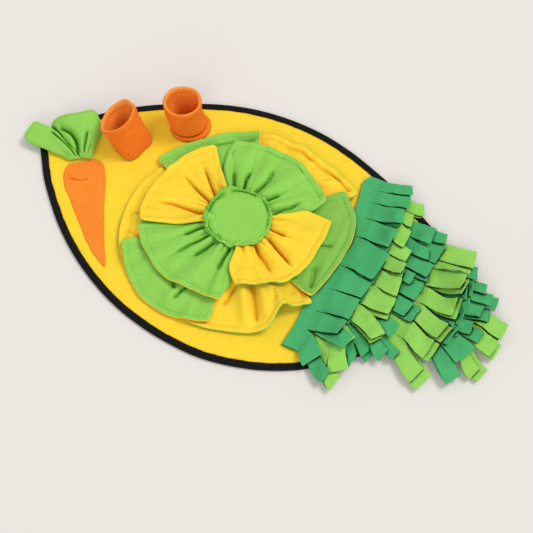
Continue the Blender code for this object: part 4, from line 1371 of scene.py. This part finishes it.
def make_tuft():
    """The gathered leaves."""
    table = np.array(TUFT_FAN, float)
    at = np.linspace(0, 1, TUFT_COLUMNS)
    ends = np.stack([curve(table[:, k], at) for k in (0, 1)], 1)
    height = curve(table[:, 2], at)
    out = np.linspace(0, 1, TUFT_ROWS)[:, None] ** 0.9
    starts = TUFT_NECK_LEFT + at[:, None] * (TUFT_NECK_RIGHT - TUFT_NECK_LEFT)
    starts = starts + 2.0 * np.sin(math.pi * at)[:, None] * TUFT_AHEAD
    spots = starts + (ends - starts) * out[..., None]
    from_neck = np.linalg.norm(spots - starts, axis=2)
    floor = pile.under(spots, 1.5) + GAP + TUFT_THICK / 2
    neck = floor[:3].max()
    z = neck + (height + TUFT_THICK / 2 - neck) * np.sqrt(out)
    pleats = abs(np.sin(at * math.pi * 8 + 0.8 * np.sin(at * 9)))
    fade = np.exp(-from_neck / PLEAT_FADE) * smooth_step(from_neck / 3)
    z += PLEAT_HIGH * (pleats - 0.3) * fade
    for deep, wide, line in TUFT_VALLEYS:
        nearness, share = crease(spots, line, wide)
        lips, _ = crease(spots, line, LIP_WIDE * wide)
        fade = smooth_step(share * 6) * smooth_step((1.1 - share) * 5)
        z -= deep * (nearness - 0.4 * lips) * fade
    droop = 2.0 + 2.0 * (at > 0.45)
    z -= droop * smooth_step((out - 0.88) / 0.12) ** 2
    middle = np.dstack([spots, np.maximum(even_out(z, 1), floor)])
    piece, area = grid_piece("carrot_tuft_cloth", middle, TUFT_THICK, [leaf_green])
    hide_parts("carrot_tuft")
    pile.lay(middle + (0, 0, TUFT_THICK / 2))
    return piece, area


tuft, tuft_area = make_tuft()
print("carrot top of", round(tuft_area, 4), "m2")

# %% [markdown]
# ## Treat cups
# Each cup is a short tube of doubled fleece on a round base, with a turned hem that
# makes its rim thick and round. One leans over its base. A cup is lofted through rings:
# out along its floor, round the corner and up the wall. The wall has small buckles and
# a seam. The sewn foot of the right cup stands out like a ring at its front.

# %% Cups
CUP_WALL = 2.4
CUP_PITCH = 1.3
CUP_HEM, HEM_EXTRA = 8.5, 2.8     # how deep the turned hem is, and what it adds to the wall
CUP_FOOT = 4.5            # height of the sewn foot that shows round the right cup
CUP_SIDES = 128
FLOOR_ROWS = 9
FLOOR_INNER, FLOOR_OUTER = 1.0, 25.5
CORNER_RADII = [27.3, 28.0, 28.2] # where the floor turns up into the wall
WAVE_AT = 30.0            # radius at which the waves of the wall are measured

# The direction of the lean, how square the base and the mouth are and where their
# corners point, where the seam is, and how much of the foot shows. Then the rings: x, y
# and z of the centre, the lean in degrees and the radius.
CUPS = {
    "cup_left": dict(towards=196, square=0.24, corners=(34, -65, 125), mouth=0.1,
                     mouth_corners=(40, 97, 240), seam=70, flange=0.0, rings=[
        (-227.5, 69.5, 4.8, 0, 29.5), (-229.5, 69.5, 16, 6, 30.0), (-235, 70.5, 32, 14, 29.5),
        (-241.5, 71.5, 47, 23, 29.8), (-247, 72, 60, 30, 31.0)]),
    "cup_right": dict(towards=115, square=0.02, corners=(0,), mouth=0.05,
                      mouth_corners=(70, 150), seam=128, flange=1.0, rings=[
        (-158.8, 138.5, 4.8, 0, 28.6), (-161.5, 138, 17, 0, 28.6),
        (-167.5, 138, 38, 1, 29.4), (-170, 139.5, 61, 3, 30.4)]),
}


def cup_points(rings, towards, across, up, radius):
    """Points of a cup: rows of up, a share of the way to the rim, and their radii."""
    table = np.array(rings, float)
    length = np.r_[0, np.cumsum(np.linalg.norm(np.diff(table[:, :3], axis=0), axis=1))]
    at = np.interp(up, length / length[-1], np.linspace(0, 1, len(table)))
    x, y, z, lean = (curve(table[:, k], at) for k in range(4))
    lean, face = np.radians(np.maximum(lean, 0))[:, None], math.radians(towards)
    ahead, aside = radius * np.cos(across), radius * np.sin(across)
    level = ahead * np.cos(lean)
    return np.dstack([x[:, None] + level * math.cos(face) - aside * math.sin(face),
                      y[:, None] + level * math.sin(face) + aside * math.cos(face),
                      z[:, None] - ahead * np.sin(lean)])


def squared(facing, degrees):
    """How far the corners of a ring stand out; between two of them it is below 0."""
    near = np.zeros_like(facing)
    for corner in degrees:
        off = (facing - math.radians(corner) + math.pi) % TURN - math.pi
        near = np.maximum(near, hump(off, 0, 0.42))
    return near - 0.4


def cup_rows(cup):
    """The rows as shares of the way to the rim, their radii, and how long that way is."""
    table = np.array(cup["rings"], float)
    tall = np.linalg.norm(np.diff(table[:, :3], axis=0), axis=1).sum()
    up = np.r_[np.zeros(FLOOR_ROWS), 0.004, 0.012, steps_between(0.03, 1.0, CUP_PITCH / tall)]
    radii = curve(table[:, 4], up) - CUP_WALL / 2
    inner = np.r_[np.linspace(FLOOR_INNER, FLOOR_OUTER, FLOOR_ROWS), CORNER_RADII]
    radii[:len(inner)] = inner
    return up, radii, tall


def cup_relief(cup, up, turn, tall, seed):
    """How far the wall stands out of a plain tube, and how much of the foot shows."""
    facing = turn + math.radians(cup["towards"])
    high, from_rim = up * tall, (1 - up) * tall
    buckles = 0.55 * ripple(WAVE_AT * np.cos(turn), WAVE_AT * np.sin(turn) + high, 34, seed)
    dents = 0.3 * ripple(WAVE_AT * turn, 2.2 * high, 19, seed + 1) * (1 - up) ** 1.6
    shows = cup["flange"] * smooth_step(0.75 + np.cos(facing - math.radians(-35)))
    flange = 2.4 + 1.6 * smooth_step(np.cos(facing - math.radians(30)))
    foot = flange * smooth_step((CUP_FOOT - high) / 2.0) - 4.6 * hump(high, CUP_FOOT + 2.2, 1.8)
    seam = np.exp((np.cos(facing - math.radians(cup["seam"])) - 1) * 500)
    seam *= 0.9 + 1.6 * cup["flange"]
    groove = seam * smooth_step((from_rim - CUP_HEM + 2) / 6) + 0.9 * hump(from_rim, CUP_HEM, 1.2)
    return buckles + dents + shows * foot - groove, shows


def stand_off(route, centre, by):
    """The route, moved away from the centre by this much."""
    away = route - centre
    return route + away / np.linalg.norm(away, axis=1)[:, None] * by


def cup_stitches(name, middle, up, tall, shows):
    """The stitching of the hem, and that of the foot where it shows; the foot's dark rust
    thread also paints the shade of the crease above the foot.
    """
    hem = middle[np.argmin(abs((1 - up) * tall - CUP_HEM))]
    route = stand_off(hem, hem.mean(0), CUP_WALL / 2 + 0.1)
    made = [sew(name + "_stitches", [np.vstack([route, route[:1]])], orange_thread)]
    front = np.flatnonzero(shows > 0.6)
    if len(front):
        front = np.roll(front, -1 - np.argmax(np.diff(front)))
        row = float(np.interp(CUP_FOOT + 0.9, up * tall, range(len(up))))
        foot = read_grid(middle, np.full(len(front), row), front)
        centre = middle[round(row)].mean(0) * (1, 1, 0) + foot * (0, 0, 1)
        route = stand_off(foot, centre, CUP_WALL / 2 + 0.2)
        made.append(sew(name + "_foot_stitches", [route], crease_shade_thread))
    return made


def make_cup(name, seed):
    """One cup: its floor, its wall and its hem."""
    cup = CUPS[name]
    rows, radii, tall = cup_rows(cup)
    turn = np.arange(CUP_SIDES) / CUP_SIDES * TURN
    facing = turn + math.radians(cup["towards"])
    up = rows[:, None]
    outer = smooth_step((np.arange(len(rows)) - 4) / 6)[:, None]
    at_base = (1 - up) ** 1.6 * outer * cup["square"]
    radius = radii[:, None] * (1 + at_base * squared(facing, cup["corners"]))
    radius *= 1 + up ** 2 * cup["mouth"] * squared(facing, cup["mouth_corners"])
    relief, shows = cup_relief(cup, up, turn, tall, seed)
    hem_extra = HEM_EXTRA * smooth_step((CUP_HEM - (1 - up) * tall) / 2.5)
    radius += relief * outer - 0.3 * hem_extra
    middle = cup_points(cup["rings"], cup["towards"], turn, rows, radius)
    rise = 0.8 * ripple(40 * np.cos(turn), 40 * np.sin(turn), 60, seed + 2)
    middle[..., 2] += rise * smooth_step(up * 1.5 - 0.5)
    foot = middle[:FLOOR_ROWS].reshape(-1, 3)
    lift = max(0, pile.under(foot[:, :2], 1.5).max() + GAP - foot[:, 2].min())
    middle[..., 2] += (lift + CUP_WALL / 2) * (1 - up)
    thick = np.repeat(CUP_WALL + hem_extra, CUP_SIDES, axis=1)
    cloths = [cup_orange, lit_cup_lining]
    piece, area = grid_piece(name + "_cloth", middle, thick, cloths, wrap=True)
    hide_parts(name)
    stitches = cup_stitches(name, middle, rows, tall, shows)
    return piece, area


for number, name in enumerate(CUPS):
    piece, area = make_cup(name, 300 + 10 * number)
    print(name, "of", round(area, 4), "m2,", len(piece.data.polygons), "faces")
bpy.data.objects.remove(stitch)

# %% [markdown]
# ## Floor, light and camera
# The mat lies on a plain pale floor. A wide sun from the upper right stands for a large
# soft box, because it lights the floor evenly. A weaker and wider one shines from the
# viewer's side into the cups, and a pale surround fills the shadows. The camera looks
# down from 60 degrees with a long lens, so the mat keeps its proportions.

# %% Floor
FLOOR_WIDE = 8.0          # in metres
FLOOR_BELOW = 0.3         # how far it is under the mat
bpy.ops.mesh.primitive_plane_add(size=FLOOR_WIDE, location=(0, 0, -FLOOR_BELOW * MM))
floor = bpy.context.object
floor.name = "studio_floor"
floor_paper, floor_tree, floor_shader, floor_place = start_material("floor_paper", 0.9, 0.0)
grain = add_node(floor_tree, "ShaderNodeTexNoise", [(floor_place, "Vector")], Scale=2.0, Detail=2.0)
floor_ramp = add_node(floor_tree, "ShaderNodeValToRGB", [(grain.outputs["Fac"], "Fac")])
floor_ramp.color_ramp.elements[0].color = linear(shade(FLOOR, -0.015))
floor_ramp.color_ramp.elements[1].color = linear(FLOOR)
floor_tree.links.new(floor_ramp.outputs["Color"], floor_shader.inputs["Base Color"])
floor.data.materials.append(floor_paper)
deselect_all()


# %% Light
SUNLIGHT = "#FFFDF9"
SURROUND = "#FBFBFC"
SURROUND_STRENGTH = 0.535
PHOTO_RIGHT, PHOTO_AWAY = Vector((0.9026, 0.4305, 0)), Vector((-0.4305, 0.9026, 0))


def soft_light(name, energy, spread, right, away, up):
    """A wide sun that shines from this direction, as seen in the photograph."""
    data = bpy.data.lights.new(name, "SUN")
    data.energy = energy
    data.angle = math.radians(spread)
    data.color = linear(SUNLIGHT)[:3]
    made = bpy.data.objects.new(name, data)
    towards = right * PHOTO_RIGHT + away * PHOTO_AWAY + Vector((0, 0, up))
    made.rotation_euler = towards.to_track_quat("Z", "Y").to_euler()
    bpy.context.scene.collection.objects.link(made)


soft_light("soft_key", energy=1.4, spread=24, right=0.55, away=0.2, up=0.9)
soft_light("front_fill", energy=1.0, spread=50, right=-0.1, away=-0.8, up=0.6)
world = bpy.data.worlds.new("studio")
world.use_nodes = True
background = world.node_tree.nodes["Background"]
background.inputs["Color"].default_value = linear(SURROUND)
background.inputs["Strength"].default_value = SURROUND_STRENGTH
bpy.context.scene.world = world
bpy.context.scene.view_settings.view_transform = "Standard"

# %% Camera
CAMERA_AT = Vector((0.5439, -1.0535, 1.9486))
CAMERA_AIM = Vector((0.0596, -0.0381, 0.0))
CAMERA_SENSOR = 36
CAMERA_LENS = 101.3
camera_data = bpy.data.cameras.new("camera")
camera_data.sensor_width = CAMERA_SENSOR
camera_data.sensor_height = CAMERA_SENSOR
camera_data.lens = CAMERA_LENS
camera = bpy.data.objects.new("camera", camera_data)
camera.location = CAMERA_AT
camera.rotation_euler = (CAMERA_AIM - CAMERA_AT).to_track_quat("-Z", "Y").to_euler()
bpy.context.scene.collection.objects.link(camera)
bpy.context.scene.camera = camera

# %% Hand over
bpy.context.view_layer.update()
